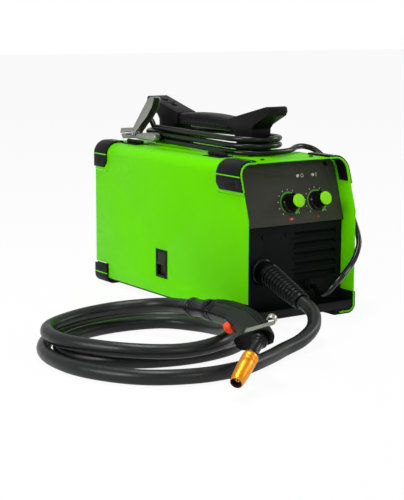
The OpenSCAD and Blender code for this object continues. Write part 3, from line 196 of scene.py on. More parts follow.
# %% Cord finishes
def finish(name, tone, shade, rough, cloud, grain, relief, looks, streak=None, spread=(0.3, 0.7)):
    """Two near tones in soft clouds, a gloss that varies with them and a fine raised grain.

    With a streak the grain is drawn out into brush marks, and the gloss follows the marks.
    """
    material = bpy.data.materials.new(name)
    material.use_nodes = True
    tree = material.node_tree
    place = add_node(tree, "ShaderNodeTexCoord").outputs["Object"]
    clouds = add_node(tree, "ShaderNodeTexNoise", {"Vector": place, **cloud})
    if streak:
        place = add_node(tree, "ShaderNodeMapping", {"Vector": place, "Scale": streak})
    marks = add_node(tree, "ShaderNodeTexNoise", {"Vector": place, **grain})
    tones = add_node(tree, "ShaderNodeMix", {"Factor": clouds, "A": linear(tone), "B": linear(shade)},
                     data_type="RGBA")
    gloss = add_node(tree, "ShaderNodeMapRange", {
        "Value": marks if streak else clouds, "From Min": spread[0], "From Max": spread[1],
        "To Min": rough[0], "To Max": rough[1]})
    bump = add_node(tree, "ShaderNodeBump", {"Height": marks, "Strength": relief[0], "Distance": relief[1] * MM})
    feed(tree, tree.nodes["Principled BSDF"], {"Base Color": tones, "Roughness": gloss, "Normal": bump, **looks})
    return material


def cord_jacket(name, tone, shade, gloss, skin_mm):
    return finish(name, tone, shade, (gloss - 0.05, gloss + 0.1), {"Scale": 38.0, "Detail": 5.0, "Roughness": 0.62},
                  {"Scale": 1000 / skin_mm, "Detail": 3.0}, (0.35, 0.2), {"Specular IOR Level": 0.35},
                  spread=(0.35, 0.7))


torch_jacket = cord_jacket("welding_cable_rubber", "#0a0b0b", "#161818", 0.34, 1.4)
lead_jacket = cord_jacket("ground_lead_pvc", "#050606", "#0b0c0b", 0.20, 0.9)
print("finishes", torch_jacket.name, lead_jacket.name)

# %% [markdown]
# ## Torch cable
# A welding torch hangs on a cable as thick as a thumb, because it holds the wire's liner,
# the current and the trigger's leads. It leaves the strain relief, lies on the floor in
# loose loops, climbs over them once and ends in the torch's boot. A tube could be swept
# by hand, but a curve with a round section keeps its thickness in every bend. Its route
# repeats the solid's own points, so the cable lies where the frame has it.

# %% Torch cable route
CABLE_R = 10 * MM
relief_dir = Vector((-6, -107, -32)).normalized()
relief_root = mm(-54, -206.5, 76)
RELIEF_LEN = 94
relief_end = relief_root + relief_dir * RELIEF_LEN * MM
torch_at = mm(-264.7, -472.3, 58)
torch_turn = turn(-146.86, "Z") @ turn(22.99, "Y") @ turn(112.25, "X")


def torch_point(x, y, z):
    return torch_at + torch_turn @ mm(x, y, z)


GRIP_REAR = Vector((-114, 0, 125))
GRIP_TURN = turn(-30, "Y")
GRIP_OUT = GRIP_TURN @ Vector((0, 0, 1))
BOOT_LEN = 62
cable_start = torch_point(*(GRIP_REAR + GRIP_OUT * BOOT_LEN))
cable_out = torch_turn @ GRIP_OUT
floor_route = [
    (-69, -338, 34.5), (-88, -357, 24), (-120, -372, 15), (-162, -386, 10.6), (-204, -408, 10.3),
    (-262, -431, 10.3), (-330, -431, 10.3), (-395, -398, 10.3), (-436, -332, 10.3), (-445, -262, 10.3),
    (-427, -195, 10.3), (-378, -137, 10.3), (-300, -109, 10.3), (-222, -111, 10.3), (-168, -146, 10.3),
    (-149, -207, 10.3), (-157, -275, 10.3), (-194, -326, 10.3), (-260, -347, 10.3), (-330, -339, 10.3),
    (-388, -304, 10.3), (-416, -250, 10.3), (-401, -194, 10.3), (-353, -153, 10.3), (-280, -136, 10.3),
    (-210, -151, 10.6), (-177, -200, 11.2), (-177, -260, 17), (-196, -318, 31), (-250, -369, 31.2),
    (-320, -375, 29), (-388, -332, 31.2), (-428, -250, 32), (-411, -178, 32), (-350, -146, 35),
    (-290, -142, 38), (-246, -163, 42), (-226, -190, 46)]
torch_route = ([relief_end, relief_end + relief_dir * 22 * MM] + [mm(*p) for p in floor_route]
               + [cable_start + cable_out * 24 * MM, cable_start])
torch_path = smooth_path(torch_route, 6)


def cord_piece(name, path, radius, material):
    """A round cord as one open spline with a round section and closed ends."""
    data = bpy.data.curves.new(name, "CURVE")
    data.dimensions = "3D"
    data.bevel_depth = radius
    data.bevel_resolution = 5
    data.use_fill_caps = True
    spline = data.splines.new("POLY")
    spline.points.add(len(path) - 1)
    for point, p in zip(spline.points, path):
        point.co = (*p, 1)
    spline.use_smooth = True
    piece = new_piece(name, data)
    data.materials.append(material)
    return piece


torch_cable = cord_piece("torch_cable_jacket", torch_path, CABLE_R, torch_jacket)
settle(torch_cable, "torch_cable")
print("torch cable", round(length_of(torch_path), 3), "m")

# %% [markdown]
# ## Ground lead
# The thin lead leaves the front low on the right, hangs beside the case, goes over the
# top edge and is wound round the handle's posts. Its last stretch goes to the clamp's
# lug. On the real machine it is one cord, so it is one spline here. The winding is worked
# out as a race-track of two straights and two half circles, because laps drawn by hand
# would not stay even.

# %% Ground lead route
LEAD_R = 4.5 * MM
COIL_R, COIL_HALF, COIL_Z, COIL_PITCH, COIL_LOOPS = 46, 107.5, 248.5, 10.4, 2.375
COIL_LAP = 4 * COIL_HALF + 2 * pi * COIL_R


def lap_point(s):
    """Place on the coil's race-track, from its front middle and first to the left."""
    quarter, straight = pi * COIL_R / 2, 2 * COIL_HALF
    if s < quarter:
        a = s / COIL_R
        return -COIL_R * sin(a), -COIL_HALF - COIL_R * cos(a)
    if s < quarter + straight:
        return -COIL_R, -COIL_HALF + s - quarter
    if s < 3 * quarter + straight:
        a = (s - quarter - straight) / COIL_R
        return -COIL_R * cos(a), COIL_HALF + COIL_R * sin(a)
    if s < 3 * quarter + 2 * straight:
        return COIL_R, COIL_HALF - (s - 3 * quarter - straight)
    a = (s - 3 * quarter - 2 * straight) / COIL_R
    return COIL_R * cos(a), -COIL_HALF - COIL_R * sin(a)


def coil_point(turns):
    x, y = lap_point(turns % 1 * COIL_LAP)
    return mm(x, y + 21, COIL_Z + turns * COIL_PITCH)


coil_path = [coil_point(i / 72) for i in range(round(COIL_LOOPS * 72) + 1)]
bushing_out = mm(35, -202.5, 46)
clamp_at = mm(-58.4, 160, 261)
clamp_turn = turn(-5, "X")


def clamp_point(x, y, z):
    return clamp_at + clamp_turn @ mm(x, y, z)


lug_dir = Vector((0, -0.6, 0.8))
lug_at = clamp_point(15, 30 - 0.6 * 14, -5.4 + 0.8 * 14)
lead_route = ([bushing_out, bushing_out + mm(-1, -9.5, -0.5)]
              + [mm(*p) for p in [
                  (28.5, -226.5, 40), (27.3, -238.4, 40.7), (30.6, -248.5, 46.6), (38.1, -254.4, 57),
                  (53.6, -253, 67.9), (74, -243, 76), (91, -236, 87), (104, -229, 100), (113, -221, 112),
                  (119, -208, 128), (120.5, -190, 156), (119, -170, 190), (115, -148, 222), (108, -121, 244),
                  (94, -107, 251.5), (74, -110, 252), (50, -124, 249)]]
              + [coil_path[0] + mm(24, 2, 0), coil_path[0]])
coil_way = (coil_path[-1] - coil_path[-2]).normalized()
tail_route = [coil_path[-1], coil_path[-1] + coil_way * 12 * MM, mm(-43.8, 136, 283),
              mm(-43.1, 152, 289), mm(-43.1, 164, 286),
              lug_at + clamp_turn @ lug_dir * 12 * MM, lug_at]
lead_path = smooth_path(lead_route, 6) + coil_path[1:] + smooth_path(tail_route, 6)[1:]
ground_cord = cord_piece("ground_lead_jacket", lead_path, LEAD_R, lead_jacket)
settle(ground_cord, "ground_lead", None, "ground_coil")
print("ground lead", round(length_of(lead_path), 3), "m")

# %% [markdown]
# ## Floor, light and backdrop
# The machine stands on a white sheet that runs out of sight. The floor answers the camera
# mostly with plain white, so it stays pale while it keeps a soft shadow. Four large soft
# lamps light the object at about the level at which a colour renders as it is written,
# and they are what the cables and the lacquer reflect.

# %% Floor and light
scene = bpy.context.scene
scene.view_settings.view_transform = "Standard"
floor_mesh = bpy.data.meshes.new("studio_floor")
corners = [(x, y, -0.0004) for x, y in ((-12, -12), (12, -12), (12, 12), (-12, 12))]
floor_mesh.from_pydata(corners, [], [(0, 1, 2, 3)])
floor = new_piece("studio_floor", floor_mesh)


def white_to(tree, lit, plain, output, shares):
    """Ends a tree in plain white for some kinds of ray, by a share each, and lit for the rest."""
    rays = add_node(tree, "ShaderNodeLightPath")
    amount = 0.0
    for ray, share in shares.items():
        part = add_node(tree, "ShaderNodeMath", {0: rays.outputs[ray], 1: share}, operation="MULTIPLY")
        amount = add_node(tree, "ShaderNodeMath", {0: amount, 1: part}, operation="MAXIMUM")
    white = add_node(tree, plain, {"Color": (1, 1, 1, 1), "Strength": 1.0})
    mixed = add_node(tree, "ShaderNodeMixShader", {0: amount, 1: lit, 2: white})
    add_node(tree, output, {"Surface": mixed})


paper = bpy.data.materials.new("white_paper")
world = bpy.data.worlds.new("studio_world")
for owner in (paper, world):
    owner.use_nodes = True
    owner.node_tree.nodes.clear()
matt = add_node(paper.node_tree, "ShaderNodeBsdfDiffuse", {"Color": linear("#f6f6f6")})
white_to(paper.node_tree, matt, "ShaderNodeEmission", "ShaderNodeOutputMaterial",
         {"Is Camera Ray": 0.93, "Is Glossy Ray": 0.4})
dim = add_node(world.node_tree, "ShaderNodeBackground", {"Color": linear("#f4f6f8"), "Strength": 0.3})
white_to(world.node_tree, dim, "ShaderNodeBackground", "ShaderNodeOutputWorld",
         {"Is Camera Ray": 1.0, "Is Transmission Ray": 1.0, "Is Glossy Ray": 0.4})
dress(floor, paper)
scene.world = world


def soft_lamp(name, place, aim, size, power):
    data = bpy.data.lights.new(name, "AREA")
    data.shape = "RECTANGLE"
    data.size, data.size_y = size
    data.energy = power
    lamp = new_piece(name, data)
    lamp.location = place
    lamp.rotation_euler = (Vector(aim) - Vector(place)).to_track_quat("-Z", "Y").to_euler()


soft_lamp("left_softbox", (-2.6, -0.5, 1.3), (-0.1, 0, 0.15), (1.3, 0.9), 38)
soft_lamp("front_softbox", (-0.3, -2.9, 1.3), (-0.1, -0.1, 0.1), (0.9, 0.6), 9)
soft_lamp("top_softbox", (-0.3, -0.1, 2.0), (-0.15, -0.15, 0), (1.3, 0.5), 19)
soft_lamp("right_softbox", (2.4, -0.8, 1.2), (0.1, 0, 0.15), (0.9, 0.7), 13)
print("lamps", len(bpy.data.lights))

# %% [markdown]
# ## Finishes of the machine
# The case is steel sheet with a baked powder coat, glossy green outside and finely
# textured black on the panels. The coat melts into a skin with very shallow waves a
# millimetre or two apart, called orange peel, which soften its reflections. The plastic
# parts come from spark-eroded moulds, whose dull grain is a tenth of a millimetre wide.
# That is too fine to show, so it is drawn about a millimetre wide.

# %% Coat and plastic finishes
def grained(name, tone, shade, rough, grain_mm, depth_mm, patch_mm=60.0, shine=0.2):
    """A coat or a moulding, with the size of its grain and of its patches in mm."""
    return finish(name, tone, shade, rough, {"Scale": 1000 / patch_mm, "Detail": 4.0},
                  {"Scale": 1000 / grain_mm, "Detail": 2.0}, (0.5, depth_mm), {"Specular IOR Level": shine})


# Glossy coat: strong colour under wide soft highlights
green_coat = grained("green_powder_coat", "#6add00", "#64d500", (0.26, 0.34), 2.2, 0.03, shine=0.04)
# Textured coats: the grain scatters the light, so the panels stay flat and dark
control_coat = grained("olive_grey_textured_coat", "#3b3b33", "#45443b", (0.50, 0.62), 1.1, 0.12, 9)
panel_coat = grained("black_textured_powder_coat", "#0d100f", "#131615", (0.50, 0.62), 1.1, 0.10, 12, 0.08)
# Plain black coat: a little glossier than the textured one
pan_coat = grained("black_powder_coat", "#0a0b0a", "#0f100f", (0.42, 0.52), 1.6, 0.05, shine=0.14)
# Nylon mouldings: black with a dull sheen that varies in soft patches
guard_plastic = grained("black_moulded_nylon", "#0d0e0d", "#151615", (0.38, 0.48), 1.2, 0.05, shine=0.1)
handle_plastic = grained("black_glass_filled_nylon", "#0b0c0b", "#131413", (0.34, 0.44), 1.4, 0.06, shine=0.12)
torch_plastic = grained("black_torch_moulding", "#050705", "#090c09", (0.26, 0.34), 1.2, 0.04, shine=0.12)
# Rubber and the softer plastics: a matt face whose highlights are wide and faint
grip_rubber = grained("black_grip_rubber", "#0a0b0a", "#111211", (0.36, 0.46), 0.9, 0.05)
grey_plastic = grained("dark_grey_polypropylene", "#26261f", "#2f2e28", (0.45, 0.55), 1.2, 0.04)
spool_plastic = grained("black_spool_polystyrene", "#17181a", "#202124", (0.35, 0.45), 1.2, 0.04)
# Coloured plastics: the colour goes right through, so the shade stays clean at every edge
red_plastic = grained("red_trigger_plastic", "#fc5228", "#f24a20", (0.30, 0.38), 1.0, 0.02)
cap_green = grained("green_cap_plastic", "#90ec22", "#88e41c", (0.40, 0.48), 1.0, 0.02, shine=0.08)
# Enamel and cast alloy: a smooth grey paint, and a grainy metal that is cloudy all over
motor_paint = grained("grey_motor_enamel", "#4a4c4e", "#55585a", (0.40, 0.50), 1.4, 0.04)
cast_alloy = grained("cast_zinc_alloy", "#8a8c8d", "#7b7d7f", (0.42, 0.55), 1.3, 0.08)
cast_alloy.node_tree.nodes["Principled BSDF"].inputs["Metallic"].default_value = 1.0
print("finishes", len(bpy.data.materials))

# %% [markdown]
# ## Finishes of the metal parts
# The clamp and the hook are pressed steel with a thin zinc plate, which is grey and
# slightly cloudy. The nozzle is brass that heat has turned orange. A metal's colour lives
# in its reflections, so each is fully metallic and differs in its tone and in how far its
# brush marks spread the light. Real marks are a tenth of a millimetre apart, and these
# are drawn about a millimetre apart so that they show.

# %% Metal finishes
def metal(name, tone, shade, rough, streak=(40.0, 40.0, 900.0)):
    """Plated, turned or cast metal whose brush marks run along the smallest scale."""
    return finish(name, tone, shade, rough, {"Scale": 90.0, "Detail": 4.0}, {"Scale": 1.0, "Detail": 6.0},
                  (0.25, 0.05), {"Metallic": 1.0}, streak)


# Zinc gives a cloudy grey and turned steel a bright one with fine rings. Brass and copper
# glow warm, because they tint what they reflect
zinc_plate = metal("zinc_plated_steel", "#b4b5ad", "#9a9b95", (0.30, 0.45))
bright_steel = metal("turned_bright_steel", "#c8c9c8", "#b2b4b4", (0.18, 0.30), (900.0, 40.0, 40.0))
nozzle_brass = metal("heat_tinted_brass", "#f9a92e", "#ee8f22", (0.30, 0.42))
lug_brass = metal("tinned_brass", "#e0b070", "#c89858", (0.28, 0.40))
copper = metal("copper_tip_alloy", "#e8a488", "#d08868", (0.25, 0.38))
print("finishes", len(bpy.data.materials))

# %% [markdown]
# ## Dressing the frame's own solids
# Sheet metal and mouldings have no knife edges: a thin bright line of rounding runs along
# each one, and it is what makes a shape read as solid. A shader can fake that line, but
# the shape itself would stay sharp. So a copy of each solid is merged, its flat triangles
# are joined again, its edges are rounded by a bevel, and the finished copy stands for the
# solid.

# %% Rounded copies of the solids
def bake(piece):
    """The piece's modifiers become part of its mesh."""
    bpy.context.view_layer.update()
    graph = bpy.context.evaluated_depsgraph_get()
    mesh = bpy.data.meshes.new_from_object(piece.evaluated_get(graph), depsgraph=graph)
    piece.modifiers.clear()
    piece.data = mesh
    return piece


def rounded(piece, width_mm, segments=2, angle=32):
    """Rounds the edges where faces meet at more than the angle."""
    bevel = piece.modifiers.new("edge", "BEVEL")
    bevel.width = width_mm * MM
    bevel.segments = segments
    bevel.limit_method = "ANGLE"
    bevel.angle_limit = radians(angle)
    crisp(bake(piece).data, angle)
    return piece


def solid_copy(name, node):
    """A merged copy of one solid of the frame, with its flat faces joined again."""
    shape = bmesh.new()
    shape.from_mesh(frame["nodes"][node].data)
    bmesh.ops.remove_doubles(shape, verts=shape.verts, dist=0.00001)
    bmesh.ops.dissolve_limit(shape, angle_limit=radians(0.5), verts=shape.verts, edges=shape.edges)
    return to_piece(name, shape)


def dress_copy(material, row):
    name, node, width = row.split()
    return settle(rounded(solid_copy(name, node), float(width), 3 if float(width) > 0.6 else 2), node, material)


# For each finish: the copy, the solid that it stands for and the width of its edge in mm
COPIES = [
    (green_coat, "green_wire_door wire_door 0.4, guard_inlay_strips guard_inlays 0.15"),
    (pan_coat, "folded_base_pan base_pan 0.4, fixed_hinge_leaves door_hinges 0.2, "
               "door_side_leaves door_hinge_leaves 0.2"),
    (panel_coat, "rear_panel_sheet rear_panel 0.3, lower_panel_sheet lower_front_panel 0.45"),
    (control_coat, "control_panel_sheet control_panel 0.3"),
    (guard_plastic, "upper_corner_guards top_corner_guards 0.7, foot_corner_guards base_corner_guards 0.7, "
                    "latch_frame latch_bezel 0.5, ground_lead_bushing ground_bushing 0.5, "
                    "rear_cord_gland power_gland 0.4, power_switch_frame power_switch 0.3, "
                    "fan_housing fan_frame 0.5, spool_nut hub_nut 0.6, tension_thumb_knob tension_knob 0.8"),
    (grey_plastic, "latch_thumb_slider latch_slider 0.5, spool_axle spool_hub 0.5"),
    (zinc_plate, "clamp_lower_handle clamp_lower_lever 0.5"),
    (bright_steel, "clamp_pin clamp_pivot 0.3, grooved_drive_roll drive_roll 0.2, "
                   "smooth_idler_roll idler_roll 0.4, tension_eye_screw tension_screw 0.2"),
    (lug_brass, "clamp_cable_lug clamp_lug 0.3"),
    (red_plastic, "power_rocker switch_rocker 0.4"),
    (copper, "torch_contact_tip contact_tip 0.15"),
    (spool_plastic, "fan_blades fan_rotor 0.3, spool_flanges wire_spool 0.5"),
    (cast_alloy, "feed_plate feed_frame 0.5, pressure_lever pressure_arm 0.6"),
    (motor_paint, "feed_motor_case feed_motor 0.8")]
made = [dress_copy(material, row) for material, rows in COPIES for row in rows.split(", ")]
# The cover's tabs reach into the notches of the door, so each seam stays a fine dark line
TAB_REACH, TAB_SIDE, TAB_LOW, TAB_FRONT, TAB_BACK = 1.1, -60, 197.5, -144, 183.5
cover = solid_copy("green_case_cover", "case_cover")
for corner in cover.data.vertices:
    x, y, z = corner.co / MM
    if x < TAB_SIDE:
        corner.co.z -= TAB_REACH * MM * (abs(z - TAB_LOW) < 0.1)
        corner.co.y += TAB_REACH * MM * ((abs(y - TAB_FRONT) < 0.1) - (abs(y - TAB_BACK) < 0.1))
rounded(cover, 0.4)
settle(cover, "case_cover", green_coat)
for node, material in (("centre_divider", zinc_plate), ("potentiometers", bright_steel)):
    dress(frame["nodes"][node], material)
print("rounded copies", len(made))

# %% [markdown]
# ## Turned and lofted shapes
# Knobs, boots, nozzles and necks are turned shapes: one half outline goes round an axis.
# The torch handle is a loft: many closed rings of points, one after another, joined by
# quads. Both come from one helper that joins rings of points into a closed mesh, so every
# one of them is closed and faces outwards.

# %% Rings to a closed mesh
TO_METRES = Matrix.Scale(MM, 4)


def circle(steps):
    """The angles of evenly spaced points on a circle."""
    return [2 * pi * k / steps for k in range(steps)]


def from_rings(name, rings, place=TO_METRES, looped=False, shade=32):
    """A closed mesh through rings of points, with flat ends or joined end to end."""
    shape = bmesh.new()
    rows = [[shape.verts.new(p) for p in ring] for ring in rings]
    for a, b in zip(rows, rows[1:] + rows[:1] * looped):
        for k in range(len(a)):
            j = (k + 1) % len(a)
            shape.faces.new((a[k], a[j], b[j], b[k]))
    if not looped:
        shape.faces.new(rows[0][::-1])
        shape.faces.new(rows[-1])
    shape.transform(place)
    bmesh.ops.recalc_face_normals(shape, faces=shape.faces)
    return to_piece(name, shape, None, shade)


def turned(name, outline, place, steps=72, looped=False):
    """A shape turned about Z from points of radius and height in mm."""
    rings = [[(r * cos(a), r * sin(a), z) for a in circle(steps)] for r, z in outline]
    return from_rings(name, rings, place, looped)


def block(low, high, place=Matrix()):
    """A box between two corners, still as a bmesh."""
    shape = bmesh.new()
    bmesh.ops.create_cube(shape, size=1)
    low, high = Vector(low), Vector(high)
    shape.transform(place @ move((low + high) / 2) @ Matrix.Diagonal((*(high - low), 1)))
    return shape


def carve(piece, cutter, shade=None):
    """Takes one closed piece out of another and removes the cutter."""
    cut = piece.modifiers.new("carve", "BOOLEAN")
    cut.operation = "DIFFERENCE"
    cut.solver = "EXACT"
    cut.object = cutter
    bake(piece)
    bpy.data.objects.remove(cutter)
    if shade:
        crisp(piece.data, shade)


torch_frame = move(torch_at) @ torch_turn @ TO_METRES
nozzle_axis = torch_frame @ turn(90, "Y")
rear_axis = torch_frame @ move(GRIP_REAR) @ GRIP_TURN
print("torch tip at", [round(v) for v in torch_frame @ Vector((93, 0, 0)) / MM])

# %% [markdown]
# ## Carry handle
# The handle is one moulding with a horn at each end. Its copy is reshaped before its
# edges are rounded: the top of each horn is drawn down until it runs straight from the
# grip to the tip. Moving a few points keeps the rest of the moulding as the solid has it.
# Two oval wells in each slope hold the screws of its two halves.

# %% Carry handle
HANDLE_MIDDLE, HORN_KINK, HORN_TOP, HORN_DROP = 25, 136, 310, 5.2
handle = solid_copy("two_horn_handle", "carry_handle")
for corner in handle.data.vertices:
    y, z = abs(corner.co.y / MM - HANDLE_MIDDLE), corner.co.z / MM
    if abs(y - HORN_KINK) < 0.5 and z > HORN_TOP:
        corner.co.z -= HORN_DROP * MM
rounded(handle, 1.4, 3)
HORN_LOW, HORN_HIGH = (66, 298), (175, 321)
horn_slope = atan((HORN_HIGH[1] - HORN_LOW[1]) / (HORN_HIGH[0] - HORN_LOW[0]))
for end in (-1, 1):
    for reach in (112, 146):
        top = HORN_LOW[1] + (reach - HORN_LOW[0]) * tan(horn_slope)
        well = move(mm(0, HANDLE_MIDDLE + end * reach, top))
        oval = [[(5.5 * cos(a), 7.5 * sin(a), z) for a in circle(24)] for z in (-4, 10)]
        carve(handle, from_rings("screw_well", oval, well @ Matrix.Rotation(end * horn_slope, 4, "X") @ TO_METRES))
# The grip of the real handle is longer than the solid's, so the horns draw back along Y
DRAWN = [(-160, -160), (-41, -55), (91, 95), (207, 190)]
for corner in handle.data.vertices:
    for (low, low_new), (high, high_new) in zip(DRAWN, DRAWN[1:]):
        if low <= corner.co.y / MM < high:
            corner.co.y = (low_new + (corner.co.y / MM - low) * (high_new - low_new) / (high - low)) * MM
            break
crisp(handle.data)
settle(handle, "carry_handle", handle_plastic)
print("handle faces", len(handle.data.polygons))

# %% [markdown]
# ## Torch handle
# The handle is two moulded shells that meet at a seam down the middle. Its outline is a
# long curve that narrows from the boss to the cable. A loft suits it, because every cut
# across the handle is the same soft-cornered shape with another width. Three grooves
# follow the outer edge, a shallow panel is sunk beside the inner edge, and a groove runs
# round the collar at the rear.

# %% Torch handle shells
inner_edge = [(0, 39), (-18, 43), (-33, 52), (-49, 67), (-62, 78), (-70, 88), (-82, 104), (-92, 118), (-101, 132.5)]
outer_edge = [(0, -20), (-14, -12), (-36, 4), (-60, 24), (-84, 50), (-94, 62), (-104, 76), (-118, 98),
              (-127, 117.5)]
STATION_STEPS = 14
GROOVES, GROOVE_DEPTH, GROOVE_WIDTH = (4.2, 8.2, 12.2), 1.3, 0.95
inner_line = smooth_path([(x, 0, z) for x, z in inner_edge], STATION_STEPS)
outer_line = smooth_path([(x, 0, z) for x, z in outer_edge], STATION_STEPS)


def ease(x, low, high):
    """Goes softly from 0 to 1 while x goes from low to high."""
    t = min(max((x - low) / (high - low), 0), 1)
    return t * t * (3 - 2 * t)


def side_height(width, from_back, station, low_z):
    """How far the shell's side stands out from the seam at a distance from the outer edge."""
    q = abs(2 * from_back / width - 1)
    wall = min(14, 12 + 2 * ease(low_z, -12, 0), 6 + 6 * ease(low_z, -20, -12))
    y = wall * max(1 - q ** 4.2, 0) ** (1 / 3.2)
    grooved = ease(station, 0.15, 0.5) * ease(7.3 - station, 0, 0.3)
    for groove in GROOVES:
        y -= GROOVE_DEPTH * exp(-((from_back - groove) / GROOVE_WIDTH) ** 2) * grooved
    from_inner = width - from_back
    panel = ease(from_inner, 2.4, 3.4) * ease(15.5 - from_inner, 0, 1)
    return max(y - panel * ease(station, 4.25, 4.4) * ease(7.2 - station, 0, 0.15), 0.12)


def shell_rings(side):
    rings = []
    cuts = [0, 0.1, 0.4, 0.9, 1.5, 2.2, 2.9, 3.4, 3.8, 4.2, 4.6, 5.0, 5.6, 6.4, 7.2, 7.7, 8.2, 8.7, 9.3, 10.4,
            11.3, 11.8, 12.2, 12.6, 13.2, 14]
    for i, (a, b) in enumerate(zip(inner_line, outer_line)):
        station = i / STATION_STEPS
        width = (b - a).length
        across = (a - b) / width
        # A groove runs round the collar, and the rear end draws in
        collar = 1 - 0.07 * exp(-((station - 7.42) / 0.05) ** 2) - 0.10 * ease(station, 7.8, 8) ** 3
        inside = [width - c for c in (17, 16, 15.5, 15, 14.5, 12, 9, 6, 4.6, 3.8, 3.4, 2.9, 2.4, 1.5, 0.9, 0.4, 0.1, 0)]
        points = cuts + [14 + (inside[0] - 14) * k / 6 for k in range(1, 6)] + inside
        middle = (a + b) / 2
        ring = []
        for d in points:
            p = b + across * d
            drawn = middle + (p - middle) * collar
            ring.append((drawn.x, side * side_height(width, d, station, p.z) * collar, drawn.z))
        rings.append(ring)
    return rings


trigger_place = torch_frame @ move((-49, 0, 67)) @ turn(-49, "Y")
for name, side in (("torch_shell_left", 1), ("torch_shell_right", -1)):
    shell = from_rings(name + "_moulding", shell_rings(side), torch_frame, shade=30)
    carve(shell, to_piece("trigger_slot", block((-9, -7.4, -4.6), (20, 7.4, 13.4), trigger_place)), 30)
    settle(shell, name, torch_plastic)
    print(name, len(shell.data.polygons), "faces")

# %% [markdown]
# ## Trigger and hanging hook
# The trigger is a small rounded key in a slot of the handle, lofted through a few rings
# that shrink towards its face. The hook is a steel strip along the boss whose end is
# rolled into an open eye, so the torch can hang on a hook or a nail. It is one band with
# a constant thickness that follows a path of straight and round stretches.

# %% Trigger and hook
def soft_corner(a, power):
    """The point at an angle on a circle of 1 that swells towards its corners."""
    return [copysign(abs(v) ** power, v) for v in (cos(a), sin(a))]


trigger_rings = []
for out, low, high, half in ((-5, -4.2, 13, 7), (1.5, -4.2, 13, 7), (4, -3.6, 12.2, 6.8), (6, -2.2, 10.4, 6.2),
                             (7.4, -0.4, 8, 5), (8, 1.6, 5.6, 3)):
    corners = [soft_corner(a, 0.6) for a in circle(32)]
    trigger_rings.append([(out, half * c, (high + low) / 2 + (high - low) / 2 * s) for c, s in corners])
trigger = from_rings("red_torch_trigger", trigger_rings, trigger_place, shade=50)
settle(trigger, "torch_trigger", red_plastic)


def band(name, path, low_x, high_x, thickness, place, edge_mm):
    """A flat band between two x values that follows a path of (y, z) points in mm."""
    sides = []
    for i, (y, z) in enumerate(path):
        before, after = Vector(path[max(i - 1, 0)]), Vector(path[min(i + 1, len(path) - 1)])
        along = (after - before).normalized()
        sides.append((Vector((y, z)), Vector((-along.y, along.x)) * thickness / 2))
    rings = [[(low_x, *(p - n)), (high_x, *(p - n)), (high_x, *(p + n)), (low_x, *(p + n))] for p, n in sides]
    return rounded(from_rings(name, rings, place), edge_mm, 2)


HOOK_OUT, EYE_RADIUS, EYE_START = 14.8, 5.5, -27
hook_path = [(HOOK_OUT, up) for up in (16, 0, -14)]
hook_path += [(HOOK_OUT + EYE_RADIUS * (1 - cos(a)), EYE_START - EYE_RADIUS * sin(a))
              for a in [radians(15 * k) for k in range(17)]]
hook = band("torch_hanging_hook", hook_path, -7, 1, 1.6, torch_frame, 0.3)
settle(hook, "torch_hook", zinc_plate)
print("hook points", len(hook_path))

# %% [markdown]
# ## Torch neck, nozzle and boot
# The neck is a copper tube in a black sleeve, held by a nut at the handle. The nozzle is
# a brass cup, and the inner faces of its mouth get a near-black finish of their own. The
# boot is soft rubber with two rings that stop the hand. All three came off a lathe or out
# of a round mould, so each is one turned outline.

# %% Torch neck, nozzle and boot
# The nozzle's mouth is drawn near black inside, and the boot's smooth rubber shows sharp highlights
mouth_black = grained("near_black_nozzle_mouth", "#120b08", "#1d120d", (0.75, 0.85), 0.8, 0.05)
boot_rubber = grained("glossy_boot_rubber", "#090a0a", "#101111", (0.24, 0.34), 1.6, 0.04)
neck = turned("torch_neck_sleeve", [
    (1, -12), (5.3, -12), (5.48, -11.6), (5.48, -0.4), (9.6, -0.4), (10.7, 0.5), (11, 1.6), (11, 7.2), (10.6, 8.3),
    (9.4, 8.8), (8.7, 9.3), (8.5, 10), (8.5, 11.2), (8.2, 12), (7.6, 12.6), (7.2, 13.4), (7.1, 14.5), (7.1, 32.4),
    (7.5, 33.4), (8.6, 33.9), (9.4, 34.6), (9.5, 35.5), (9.5, 38.4), (9.2, 38.9), (1, 39)], nozzle_axis)
settle(neck, "torch_neck", boot_rubber)
nozzle = turned("torch_nozzle_cup", [
    (9.3, 39), (10.1, 39.6), (10.5, 40.5), (10.5, 46.4), (10.2, 47.1), (9.9, 47.5), (9.9, 48.2), (10.2, 48.6),
    (10.5, 49.2), (10.5, 51.6), (10.2, 52.2), (10.0, 52.6), (10.0, 53.2), (10.2, 53.6), (10.5, 54.2), (10.5, 61),
    (10.3, 66), (9.7, 78), (9.1, 87), (8.5, 91.4), (8.0, 92.6), (7.4, 93), (6.2, 92.8), (5.9, 92), (5.9, 53),
    (4.5, 47), (4.5, 39)], nozzle_axis, looped=True)
settle(nozzle, "torch_nozzle", nozzle_brass)
nozzle.data.materials.append(mouth_black)
# Faces inside the mouth, past its rim, take the near-black finish
MOUTH_R, MOUTH_Z = 7.3, 48
turn_back = nozzle_axis.inverted()
for face in nozzle.data.polygons:
    middle = turn_back @ face.center
    if hypot(middle.x, middle.y) < MOUTH_R and middle.z > MOUTH_Z:
        face.material_index = 1
boot = turned("torch_cable_boot", [
    (1, -12), (10.6, -12), (10.9, -11.6), (10.9, 0.2), (13.6, 0.2), (14.6, 0.8), (15, 1.8), (15, 10.4), (14.6, 11.6),
    (13.6, 12.6), (13.4, 13.8), (13.4, 17.4), (12.9, 18.8), (12.6, 20.2), (12.5, 34), (12.6, 47.4), (13, 48.8),
    (13.8, 49.6), (14, 50.6), (14, 53.4), (13.7, 54.4), (12.7, 55.4), (12.3, 56.4), (11.9, 60), (11.3, 61.6),
    (10.7, 62), (10.25, 61.6), (10.2, 60), (1, 60)], rear_axis)
settle(boot, "torch_boot", boot_rubber)
print("nozzle mouth faces", sum(f.material_index for f in nozzle.data.polygons))

